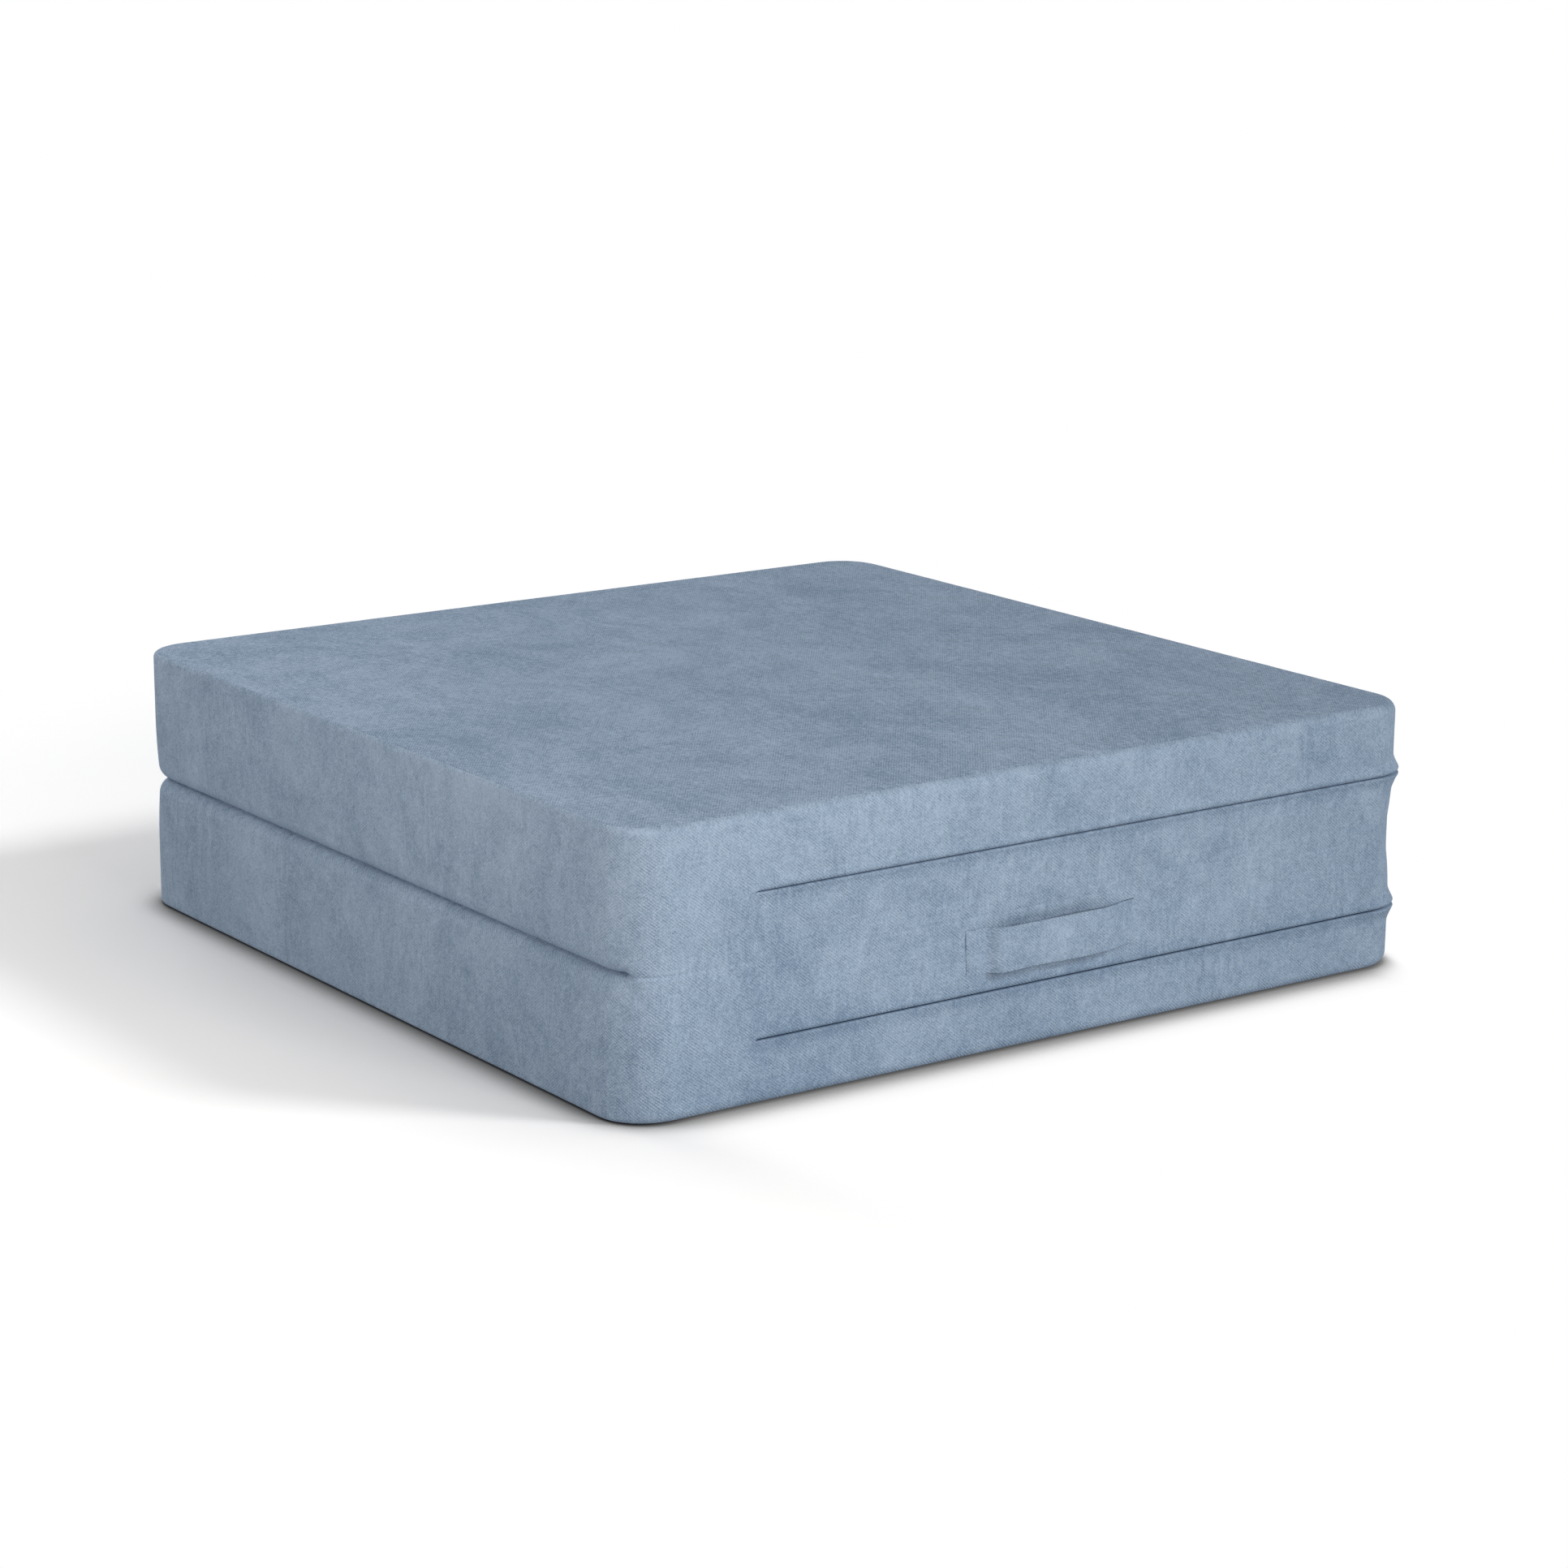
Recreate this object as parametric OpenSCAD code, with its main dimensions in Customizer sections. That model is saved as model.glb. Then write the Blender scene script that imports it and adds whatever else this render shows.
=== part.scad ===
// Folding foam futon, shown folded: one square slab lies on another, joined by a fabric fold.
// Each slab is a foam core in a sewn cover that opens with a zip near half its thickness.
// X runs along the front, Y from the front fold to the back, Z up from the floor.
// A slab is drawn once, standing on its outer face, and the upper one is its mirror image.

/* [Slabs] */
// Width of a slab along the fold
slab_w = 1000; // [600:5:1600]
// Depth of a slab from the fold to its free end
slab_d = 1000; // [600:5:1200]
// Thickness of a slab at its edges
slab_t = 144; // [90:1:220]
// Radius of the upright corners
corner_r = 55; // [30:1:110]
// Radius of the long edges
edge_r = 12; // [6:0.5:20]
// How far the sides draw in towards the fold
side_draw = 2; // [0.5:0.1:4]
// Rise of the upper slab's sleeping face over its edges
crown = 4; // [1:0.5:12]
// Thickness of the cover cloth
cover_t = 1.6; // [1:0.1:3]

/* [Fold] */
// Free height of the cloth web between its two seams
web_h = 18; // [17:0.5:21]
// Thickness of the cloth web
web_t = 1.6; // [1:0.1:2.5]

/* [Handle] */
// Length of the carry strap
handle_len = 212; // [170:1:260]
// Width of the strap
handle_w = 45; // [30:1:50]
// Thickness of the strap
handle_t = 2; // [1.5:0.1:3]
// Free depth behind the middle of the strap
handle_gap = 8; // [6.5:0.5:9]
// Sewn length at each end
handle_sewn = 22; // [15:1:30]
// Length over which the strap rises from its sewn end
handle_rise = 30; // [20:1:40]
// Distance of the strap's centre line below the fold's level
handle_drop = 34.5; // [32:0.5:39]
// Sideways place of the strap's middle
handle_x = 5; // [-60:1:60]

/* [Zip opening] */
// Distance from the left side to the start of the zip
zip_from_left = 142; // [110:1:300]
// Distance from the back to the end of the zip
zip_from_back = 142; // [110:1:300]
// How far a zip lies under the middle of its slab when the futon is folded
zip_shift = 4.5; // [0:0.5:8]
// Width of the slit between the lips
slit_w = 2.4; // [2.3:0.1:4]
// Reach of a lip above or below the slit
lip_w = 14; // [8:0.5:14.5]
// Height of the lips over the side
lip_h = 2.5; // [1:0.1:3]
// Distance from the middle of the slit to the folded hem
hem_in = 7; // [6.3:0.1:8]
// Width of the folded hem
hem_w = 8; // [5:0.5:10]

/* [Zip chain] */
// Depth of the tape under the side
zip_depth = 5.8; // [5.6:0.1:7]
// Half of the gap between the two tapes
tape_in = 1.5; // [1.4:0.1:1.8]
// Width of one tape
tape_w = 13.5; // [10:0.5:16]
// Thickness of a tape
tape_t = 0.6; // [0.4:0.1:1]
// Length of tape past each end of the slit
tape_over = 8; // [4:0.5:12]
// Width of the closed chain
coil_w = 6; // [5:0.1:6.2]
// Thickness of the chain
coil_t = 2.2; // [1.8:0.1:2.4]
// Width of the interlock between the two coils
lock_w = 1.2; // [0.8:0.1:1.6]
// Thickness of the interlock
lock_t = 1.2; // [0.8:0.1:1.6]
// Length of a metal stop
stop_len = 3; // [2:0.1:5]
// Thickness of a stop's plates
stop_t = 0.8; // [0.5:0.1:1]
// Width of an end stop's plates
stop_w = 4; // [3:0.1:4.5]

/* [Slider] */
// Length of the slider
slider_len = 12; // [11:0.5:15]
// Thickness of each wing
wing_t = 1.2; // [0.9:0.1:1.4]
// Thickness of the flanges
flange_t = 1; // [0.7:0.1:1.1]
// Chamfer at the wing corners
wing_chamfer = 1.4; // [0.5:0.1:2]
// Width of the post that parts the coils
post_w = 2; // [1.6:0.1:2.2]
// Length of the post
post_len = 4; // [3:0.1:4.5]
// Distance from the post to the slider's mouth
post_setback = 0.5; // [0.3:0.1:1]
// Length over which the flanges spread
flare_len = 4; // [2:0.1:4]
// Width of the bridge that holds the pull
bridge_w = 1.8; // [1.2:0.1:1.8]
// Length of the bridge
bridge_len = 9.2; // [8.4:0.1:9.6]
// Thickness of the bridge
bridge_t = 1.4; // [1:0.1:1.6]
// Outer corner radius of the bridge
bridge_r = 2.2; // [1.8:0.1:2.6]

/* [Pull] */
// Length of the pull tab
pull_len = 28; // [20:1:40]
// Width of the tab
pull_w = 7; // [6:0.5:9]
// Width of the tab at its eye
eye_w = 5; // [4.6:0.1:5.5]
// Thickness of the tab and diameter of its cross bar
pull_t = 1.4; // [1.1:0.1:1.6]
// Length of the window that the bridge passes through
window_len = 5.8; // [5.7:0.1:6.5]
// Width of the window
window_w = 2.6; // [2.5:0.1:2.9]
// Length over which the tab widens
tab_taper = 4; // [2:0.5:6]

/* [Fits] */
// Clearance between neighbouring pieces
fit_gap = 0.3; // [0.2:0.05:0.4]
// Clearance under the pull tab
pull_gap = 0.5; // [0.3:0.1:1]

/* [Hidden] */

$fn = 64;
// Overrun of a cut past the face that it leaves
cut_over = 0.5;
// How far two joined shapes of one piece run into each other
join = 0.4;

// Colours
cloth_blue = [0.54, 0.61, 0.69];
cloth_shade = [0.48, 0.55, 0.64];
foam_white = [0.93, 0.91, 0.84];
tape_blue = [0.30, 0.38, 0.48];
chain_blue = [0.36, 0.44, 0.54];
zip_metal = [0.62, 0.63, 0.65];

// Heights in the slab's own frame, from its outer face
outer_seam = edge_r;
inner_seam = slab_t - edge_r;
middle_z = slab_t / 2;
lower_zip_z = middle_z - zip_shift;
upper_zip_z = middle_z + zip_shift;
handle_z = slab_t - handle_drop;
stack_h = 2 * slab_t + fit_gap;
// Cloth and clearance between the outside and the foam
skin = cover_t + fit_gap;
half_span = min(slab_w, slab_d) / 2;

// Steps of the swept outlines
corner_steps = 6;
round_steps = 5;
// Step of a rounding at which the panels are sewn to the boxing strip
seam_step = 4;
side_steps = 6;
crown_steps = 5;
lip_steps = 4;
rise_steps = 8;
// Share of the half width that the crown's rings reach
crown_reach_share = 0.85;
// Smallest corner radius of a ring, near the middle of a face
ring_min_r = 5;

// Ends of the slit: on the front, and on the right side
zip_x0 = zip_from_left - slab_w / 2;
zip_y1 = slab_d / 2 - zip_from_back;
front_end = slab_w / 2 - corner_r;
side_end = slab_d / 2 - corner_r;

// Depths below the side, from the outside in
tape_face = -zip_depth;
tape_back = tape_face - tape_t;
chain_face = tape_face + coil_t;
wing_under = chain_face + fit_gap;
wing_face = wing_under + wing_t;
lower_wing_face = tape_back - fit_gap;
lower_wing_back = lower_wing_face - wing_t;
relief_depth = fit_gap - lower_wing_back;
relief_half = hem_in + hem_w + 2 * fit_gap;

// The slider is parked at the closed end, its mouth towards the end stops
slider_y = zip_y1 - stop_len - slider_len / 2 - 2 * fit_gap;
mouth_y = slider_len / 2;
tail_half = coil_w / 2 + fit_gap + flange_t;
mouth_half = post_w / 2 + coil_w / 2 + 2 * fit_gap + flange_t;
post_y1 = mouth_y - post_setback;
post_y0 = post_y1 - post_len;
flare_y1 = post_y0 - 2 * fit_gap - join;
flare_y0 = flare_y1 - flare_len;
chain_y1 = slider_y + post_y0 - fit_gap;
chain_x0 = zip_x0 + stop_len + fit_gap;

// The pull turns on its cross bar, just outside the lips
pull_axis = lip_h + pull_gap + pull_t / 2;
bridge_under = pull_axis + pull_t / 2 + fit_gap;
bridge_top = bridge_under + bridge_t;

// How far the side has drawn in at a height of the slab
function side_inset(z) = side_draw * pow(max(0, (z - middle_z) / (inner_seam - middle_z)), 2);

// How far the rounded inner edge lies behind the drawn-in side, t under the outside
function inner_edge_inset(z) =
    edge_r - sqrt(max(0, pow(edge_r, 2) - pow(max(0, z - inner_seam), 2)));

// A smooth step from 0 to 1
function ease(u) = let (v = min(1, max(0, u))) v * v * (3 - 2 * v);

function reversed(list) = [for (i = [len(list) - 1:-1:0]) list[i]];

// Outline of the slab as points, drawn in by inset, at height z
function ring(inset, z) =
    let (
        r = max(corner_r - inset, ring_min_r),
        cx = slab_w / 2 - inset - r,
        cy = slab_d / 2 - inset - r
    )
    [
        for (k = [0:3], i = [0:corner_steps])
            let (
                a = 90 * (k + i / corner_steps),
                sx = (k == 0 || k == 3) ? 1 : -1,
                sy = (k < 2) ? 1 : -1
            )
            [sx * cx + r * cos(a), sy * cy + r * sin(a), z]
    ];

// Profiles as pairs of inset and height, t under the outside of the cover, from the side inwards
function outer_round(t, from = 0, to = round_steps) = [
    for (i = [from:to])
        let (a = 90 * i / round_steps, r = edge_r - t)
        [edge_r - r * cos(a), edge_r - r * sin(a)]
];

function inner_round(t, from = 0, to = round_steps) = [
    for (i = [from:to])
        let (a = 90 * i / round_steps, r = edge_r - t)
        [side_draw + edge_r - r * cos(a), inner_seam + r * sin(a)]
];

function side_wall(t) = [
    for (i = [1:side_steps - 1])
        let (z = outer_seam + (inner_seam - outer_seam) * i / side_steps)
        [t + side_inset(z), z]
];

// Rings of a crowned face, from its edge towards its middle
function crown_rings(t, rise) = rise == 0 ? [] : [
    for (i = [1:crown_steps])
        let (share = crown_reach_share * i / crown_steps)
        [edge_r + share * (half_span - edge_r), t - rise * (1 - pow(1 - share, 2))]
];

// Closed solid through the rings of a profile, flat at both ends
module loft(profile) {
    count = 4 * (corner_steps + 1);
    last = len(profile) - 1;
    points = [for (p = profile) each ring(p[0], p[1])];
    walls = [
        for (j = [0:last - 1], i = [0:count - 1])
            let (a = j * count + i, b = j * count + (i + 1) % count)
            each [[a, a + count, b + count], [a, b + count, b]]
    ];
    first_cap = [for (i = [0:count - 1]) i];
    last_cap = [for (i = [count - 1:-1:0]) last * count + i];
    polyhedron(points = points, faces = concat([first_cap], walls, [last_cap]));
}

// A straight stretch of a side, from s0 to s1. The 2D child has the outward way as x, height as y
module side_run(turn, half_n, s0, s1) {
    rotate(turn)
        translate([half_n, s1, 0])
            rotate([90, 0, 0])
                linear_extrude(s1 - s0)
                    children();
}

// The corner that follows a side, anticlockwise
module corner_run(turn, half_n, half_s) {
    rotate(turn)
        translate([half_n - corner_r, half_s - corner_r, 0])
            rotate_extrude(angle = 90)
                translate([corner_r, 0])
                    children();
}

// All four sides and corners
module ring_run() {
    for (k = [0:3]) {
        half_n = (k % 2 == 0 ? slab_w : slab_d) / 2;
        half_s = (k % 2 == 0 ? slab_d : slab_w) / 2;
        run = half_s - corner_r;
        side_run(90 * k, half_n, -run, run) children();
        corner_run(90 * k, half_n, half_s) children();
    }
}

// The zip's way: along the front from x0, round the right-hand corner, along that side to y1
module zip_run(x0, y1) {
    side_run(270, slab_d / 2, x0, front_end) children();
    corner_run(270, slab_d / 2, slab_w / 2) children();
    side_run(0, slab_w / 2, -side_end, y1) children();
}

// Above and below the zip line alike
module both_halves(zip_z) {
    translate([0, zip_z]) {
        children();
        mirror([0, 1]) children();
    }
}

// The boxing strip from seam to seam, as pairs of inset and height
function strip_profile(t) = concat(
    reversed(outer_round(t, 0, seam_step)),
    side_wall(t),
    inner_round(t, 0, seam_step)
);

// Cross section of the boxing strip, drawn in towards the fold
module band_2d() {
    path = concat(strip_profile(0), reversed(strip_profile(cover_t)));
    polygon([for (p = path) [-p[0], p[1]]]);
}

// Raised lip from its foot to the slit, on a base inside the strip
function lip_outline() = concat(
    [[-cover_t / 2, 0], [-cover_t / 2, lip_w], [0, lip_w]],
    [for (i = [1:lip_steps]) [lip_h * pow(i / lip_steps, 2), lip_w * (1 - i / lip_steps)]]
);

module lips_2d(zip_z) {
    both_halves(zip_z) {
        polygon(lip_outline());
        translate([tape_face, hem_in]) square([zip_depth - cover_t / 2, hem_w]);
    }
}

// Round end of the lips, turned about the way out
module lip_end() {
    rotate_extrude()
        polygon([for (p = lip_outline()) [p[1], p[0]]]);
}

module slit_2d(zip_z) {
    depth = lip_h + cover_t + 2 * cut_over;
    translate([-cover_t - cut_over, zip_z - slit_w / 2]) square([depth, slit_w]);
}

// The foam gives way behind the zip
module relief_2d(zip_z) {
    translate([-relief_depth, zip_z - relief_half]) square([relief_depth + cut_over, 2 * relief_half]);
}

module foam_core(rise, zip_z) {
    profile = concat(
        reversed(crown_rings(skin, rise)),
        reversed(outer_round(skin)),
        side_wall(skin),
        inner_round(skin)
    );
    relief_over = tape_over + 2 * fit_gap;
    color(foam_white)
        difference() {
            loft(profile);
            zip_run(zip_x0 - relief_over, zip_y1 + relief_over) relief_2d(zip_z);
        }
}

module outer_panel(rise) {
    profile = concat(
        reversed(crown_rings(0, rise)),
        reversed(outer_round(0, seam_step)),
        outer_round(cover_t, seam_step),
        crown_rings(cover_t, rise)
    );
    color(cloth_blue) loft(profile);
}

module inner_panel() {
    profile = concat(reversed(inner_round(cover_t, seam_step)), inner_round(0, seam_step));
    color(cloth_shade) loft(profile);
}

module border(zip_z) {
    color(cloth_blue)
        difference() {
            union() {
                ring_run() band_2d();
                zip_run(zip_x0, zip_y1) lips_2d(zip_z);
                translate([zip_x0, -slab_d / 2, zip_z]) rotate([90, 0, 0]) lip_end();
                translate([slab_w / 2, zip_y1, zip_z]) rotate([0, 90, 0]) lip_end();
            }
            zip_run(zip_x0, zip_y1) slit_2d(zip_z);
        }
}

module tape_2d() {
    translate([tape_back, tape_in]) square([tape_t, tape_w]);
}

// The tape nearer the slab's outer face
module zip_tape_outer(zip_z) {
    color(tape_blue)
        zip_run(zip_x0 - tape_over, zip_y1 + tape_over)
            translate([0, zip_z]) mirror([0, 1]) tape_2d();
}

// The tape nearer the fold's level
module zip_tape_inner(zip_z) {
    color(tape_blue)
        zip_run(zip_x0 - tape_over, zip_y1 + tape_over)
            translate([0, zip_z]) tape_2d();
}

// One coil, flat on its tape, shift away from the zip line
module coil_2d(shift) {
    r = coil_t / 2;
    flat = coil_w / 2 - coil_t;
    translate([tape_face + r, shift + r]) {
        circle(r);
        translate([0, flat]) circle(r);
        translate([-r, 0]) square([coil_t, flat]);
    }
}

module zip_chain(zip_z) {
    parted = post_w / 2 + fit_gap;
    color(chain_blue) {
        zip_run(chain_x0, chain_y1) {
            both_halves(zip_z) coil_2d(0);
            translate([tape_face + (coil_t - lock_t) / 2, zip_z - lock_w / 2]) square([lock_t, lock_w]);
        }
        side_run(0, slab_w / 2, chain_y1 - join, slider_y + mouth_y)
            both_halves(zip_z) coil_2d(parted);
    }
}

// Metal clip round the edges of both tapes at the start of the chain
module zip_start_stop(zip_z) {
    color(zip_metal)
        side_run(270, slab_d / 2, zip_x0, zip_x0 + stop_len)
            translate([0, zip_z]) {
                translate([tape_face, -coil_w / 2]) square([coil_t, coil_w]);
                translate([tape_back - stop_t, -coil_w / 2]) square([stop_t, coil_w]);
                translate([tape_back - stop_t, fit_gap - tape_in])
                    square([stop_t + tape_t + coil_t, 2 * (tape_in - fit_gap)]);
            }
}

// Metal clip on the edge of each tape past the slider's mouth
module zip_end_stops(zip_z) {
    neck_in = tape_in - fit_gap - stop_t;
    y0 = slider_y + mouth_y + fit_gap;
    color(zip_metal)
        side_run(0, slab_w / 2, y0, y0 + stop_len)
            both_halves(zip_z) {
                translate([tape_face, neck_in]) square([coil_t, stop_w]);
                translate([tape_back - stop_t, neck_in]) square([stop_t, stop_w]);
                translate([tape_back - stop_t, neck_in]) square([stop_t + tape_t + coil_t, stop_t]);
            }
}

// Plate square to the way out, from depth x0 outwards. The 2D child has the zip's way as x
module facing_plate(x0, thick) {
    translate([x0, 0, 0])
        rotate([90, 0, 90])
            linear_extrude(thick)
                children();
}

// Plan of the slider, narrow at the tail and flared at the mouth
module slider_plan() {
    c = wing_chamfer;
    upper = [
        [-mouth_y, tail_half - c], [c - mouth_y, tail_half], [flare_y0, tail_half],
        [flare_y1, mouth_half], [mouth_y - c, mouth_half], [mouth_y, mouth_half - c]
    ];
    polygon(concat(upper, [for (p = reversed(upper)) [p[0], -p[1]]]));
}

// Room for the coils between the flanges
module channel_plan() {
    tail = tail_half - flange_t;
    mouth = mouth_half - flange_t;
    upper = [
        [-mouth_y - cut_over, tail], [flare_y0, tail], [flare_y1, mouth], [mouth_y + cut_over, mouth]
    ];
    polygon(concat(upper, [for (p = reversed(upper)) [p[0], -p[1]]]));
}

module post_plan() {
    half = post_w / 2;
    upper = [[post_y0, 0], [post_y0 + half, half], [post_y1 - half / 2, half], [post_y1, half / 2]];
    polygon(concat(upper, [for (p = reversed(upper)) if (p[1] > 0) [p[0], -p[1]]]));
}

// Rounded rectangle standing on y = 0, square at its foot
module arch_2d(width, height, r) {
    translate([-width / 2, 0]) square([width, height - r]);
    translate([r - width / 2, 0]) square([width - 2 * r, height]);
    for (s = [-1, 1]) translate([s * (width / 2 - r), height - r]) circle(r);
}

module bridge() {
    foot = wing_face - wing_t / 2;
    translate([0, 0, -bridge_w / 2])
        rotate(-90)
            linear_extrude(bridge_w)
                difference() {
                    translate([0, foot]) arch_2d(bridge_len, bridge_top - foot, bridge_r);
                    translate([0, wing_face])
                        arch_2d(bridge_len - 2 * bridge_t, bridge_under - wing_face, bridge_r - bridge_t);
                }
}

module zip_slider(zip_z) {
    color(zip_metal)
        translate([slab_w / 2, slider_y, zip_z]) {
            facing_plate(wing_under, wing_t) slider_plan();
            facing_plate(lower_wing_back, wing_t) slider_plan();
            facing_plate(tape_face + fit_gap, wing_under - tape_face - fit_gap + wing_t / 2)
                difference() {
                    slider_plan();
                    channel_plan();
                }
            facing_plate(lower_wing_face - wing_t / 2, wing_under - lower_wing_face + wing_t) post_plan();
            bridge();
        }
}

// Tab that lies flat over the lips, hung on a cross bar under the bridge
module zip_pull(zip_z) {
    half = pull_w / 2;
    eye = eye_w / 2;
    taper_y0 = window_len + bridge_t;
    color(zip_metal)
        translate([slab_w / 2 + pull_axis, slider_y, zip_z]) {
            translate([0, 0, -eye]) cylinder(r = pull_t / 2, h = eye_w);
            facing_plate(-pull_t / 2, pull_t)
                difference() {
                    union() {
                        translate([0, -eye]) square([taper_y0, eye_w]);
                        polygon([
                            [taper_y0, -eye], [taper_y0 + tab_taper, -half],
                            [taper_y0 + tab_taper, half], [taper_y0, eye]
                        ]);
                        translate([taper_y0 + tab_taper, -half])
                            square([pull_len - half - taper_y0 - tab_taper, pull_w]);
                        translate([pull_len - half, 0]) circle(half);
                    }
                    translate([pull_t / 2, -window_w / 2]) square([window_len - pull_t / 2, window_w]);
                }
        }
}

// Strap seen from above: flat sewn ends, and a middle that stands off the side
module strap_2d() {
    free_half = handle_len / 2 - handle_sewn;
    rise_x = [for (i = [0:rise_steps]) free_half - handle_rise * i / rise_steps];
    right = concat([handle_len / 2], rise_x);
    xs = concat([for (x = right) -x], reversed(right));
    stand_off = [for (x = xs) handle_gap * ease((free_half - abs(x)) / handle_rise)];
    back = [for (i = [0:len(xs) - 1]) [xs[i], stand_off[i]]];
    front = [for (p = reversed(back)) [p[0], p[1] + handle_t]];
    polygon(concat(back, front));
}

module carry_handle() {
    half = handle_w / 2;
    lean = atan((side_inset(handle_z + half) - side_inset(handle_z - half)) / handle_w);
    seat = slab_d / 2 - side_inset(handle_z) + fit_gap;
    color(cloth_blue)
        translate([handle_x, -seat, handle_z])
            rotate([-lean, 0, 0])
                rotate(180)
                    linear_extrude(handle_w, center = true)
                        strap_2d();
}

// Web across the fold, flush with the drawn-in fronts and thinned where the edges round off
module fold_web() {
    run = 2 * front_end;
    level = slab_t + fit_gap / 2;
    half = web_h / 2 - fit_gap;
    offsets = [for (i = [0:2 * side_steps]) half * (i / side_steps - 1)];
    front = [for (z = offsets) [0, z]];
    back = [
        for (z = reversed(offsets))
            [-min(web_t, max(fit_gap / 2, inner_edge_inset(level - abs(z)) - fit_gap)), z]
    ];
    color(cloth_shade)
        translate([0, 0, level])
            side_run(270, slab_d / 2 - side_draw, -run / 2, run / 2)
                polygon(concat(front, back));
}

// The upper slab lies upside down on the lower one
module turned() {
    translate([0, 0, stack_h]) mirror([0, 0, 1]) children();
}

foam_core(0, lower_zip_z);  // lower_foam_core
outer_panel(0);  // lower_outer_panel
inner_panel();  // lower_inner_panel
border(lower_zip_z);  // lower_border
zip_tape_outer(lower_zip_z);  // lower_zip_tape_outer
zip_tape_inner(lower_zip_z);  // lower_zip_tape_inner
zip_chain(lower_zip_z);  // lower_zip_chain
zip_start_stop(lower_zip_z);  // lower_zip_start_stop
zip_end_stops(lower_zip_z);  // lower_zip_end_stops
zip_slider(lower_zip_z);  // lower_zip_slider
zip_pull(lower_zip_z);  // lower_zip_pull
carry_handle();
fold_web();
turned() foam_core(crown, upper_zip_z);  // upper_foam_core
turned() outer_panel(crown);  // upper_outer_panel
turned() inner_panel();  // upper_inner_panel
turned() border(upper_zip_z);  // upper_border
turned() zip_tape_outer(upper_zip_z);  // upper_zip_tape_outer
turned() zip_tape_inner(upper_zip_z);  // upper_zip_tape_inner
turned() zip_chain(upper_zip_z);  // upper_zip_chain
turned() zip_start_stop(upper_zip_z);  // upper_zip_start_stop
turned() zip_end_stops(upper_zip_z);  // upper_zip_end_stops
turned() zip_slider(upper_zip_z);  // upper_zip_slider
turned() zip_pull(upper_zip_z);  // upper_zip_pull
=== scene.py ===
# Looks of the folding foam futon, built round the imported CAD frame. Metres, +Z up.
# Each slab is worked out in its own frame, from its outer face (z = 0) to the level of the fold.
# The upper slab is the same thing mirrored, which is called turned below.
import math

import bpy
import numpy as np
from mathutils import Matrix, Vector, kdtree


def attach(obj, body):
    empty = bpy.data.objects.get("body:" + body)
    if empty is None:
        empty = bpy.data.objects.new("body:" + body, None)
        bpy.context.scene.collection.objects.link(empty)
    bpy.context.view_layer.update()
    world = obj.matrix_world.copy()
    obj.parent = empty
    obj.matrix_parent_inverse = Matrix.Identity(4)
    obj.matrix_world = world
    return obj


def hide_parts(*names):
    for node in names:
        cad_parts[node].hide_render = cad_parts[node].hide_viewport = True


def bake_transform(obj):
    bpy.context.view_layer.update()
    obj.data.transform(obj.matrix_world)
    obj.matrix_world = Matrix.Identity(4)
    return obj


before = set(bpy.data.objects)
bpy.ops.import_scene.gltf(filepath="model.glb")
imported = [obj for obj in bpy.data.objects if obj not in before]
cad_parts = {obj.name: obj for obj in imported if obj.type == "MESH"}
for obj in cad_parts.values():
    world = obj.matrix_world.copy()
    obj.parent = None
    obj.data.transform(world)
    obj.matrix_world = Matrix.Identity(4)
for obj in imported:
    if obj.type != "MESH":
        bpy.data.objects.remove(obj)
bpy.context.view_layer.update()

# Sizes, as in the CAD source
HALF = 0.5
SLAB_T = 0.144
STACK = 0.2883
CORNER_R = 0.055
EDGE_R = 0.012
DRAW = 0.002
CROWN = 0.004
CLOTH = 0.0016
ZIP_SHIFT = 0.0045
MIDDLE_Z = SLAB_T / 2
FOLD_Z = STACK / 2

# Shape of the dressed cover
FOLD_DEEP, FOLD_TALL = 0.017, 0.017
SEAM_ANGLE = math.radians(72)
RING_MIN_R = 0.012
FLAT_INSETS = (0.06, 0.03, 0.012)
PUCKER = 0.00012
MIN_COLUMN = 0.0011
TUBE_V_STEP = 0.0006
STRAP_X, STRAP_Z = 0.0045, 0.1092
STRAP_HALF_LENGTH, STRAP_HALF_WIDTH, STRAP_GAP = 0.108, 0.0228, 0.0088

# Rows of the boxing strip: angles round its edge from the seam on, then distances from the slit
STRIP_ANGLES = np.radians([72, 70, 67, 62, 54, 44, 33, 22, 11])
STRIP_ROWS = np.array([60, 56, 52, 46, 40, 34, 28.5, 24, 20, 16.5, 13.5, 11, 8.8, 6.8, 5.2, 3.9, 2.9, 2.0,
                       1.2, 0.5, 0]) * 1e-3

# Cells of a panel along a side and round a corner
FINE, COARSE = (84, 12), (36, 12)
SIM_CELLS, FOAM_CELLS = (56, 8), (36, 8)
SIM_FRAMES = 20

# Looks: waves of the twill per metre, the cloth's colour, and the painted shade band along each zip
# as the height of its middle, where it starts to fade, where it ends, and its depth
TWILL = ((245, 316), (-236, 330))
CLOTH_BLUE = (0.289, 0.377, 0.498)
ZIP_PAINTED_SHADES = ((0.0655, 0.002, 0.020, 0.24), (0.2080, 0.001, 0.014, 0.19))
STRAP_U = 20.0
WORLD_LEVEL = 0.12

# Outline of a slab, anticlockwise from the middle of the back
STRAIGHT = HALF - CORNER_R
ARC = CORNER_R * math.pi / 2
STARTS = np.cumsum([0, STRAIGHT, ARC, 2 * STRAIGHT, ARC, 2 * STRAIGHT, ARC, 2 * STRAIGHT, ARC])
PERIMETER = STARTS[-1] + STRAIGHT
FRONT_S, CORNER_S, RIGHT_S = STARTS[4], STARTS[5], STARTS[6]


def on_front(x):
    """Place along the outline of x on the front."""
    return FRONT_S + x + STRAIGHT


def on_right(y):
    """Place along the outline of y on the right side."""
    return RIGHT_S + y + STRAIGHT


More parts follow.
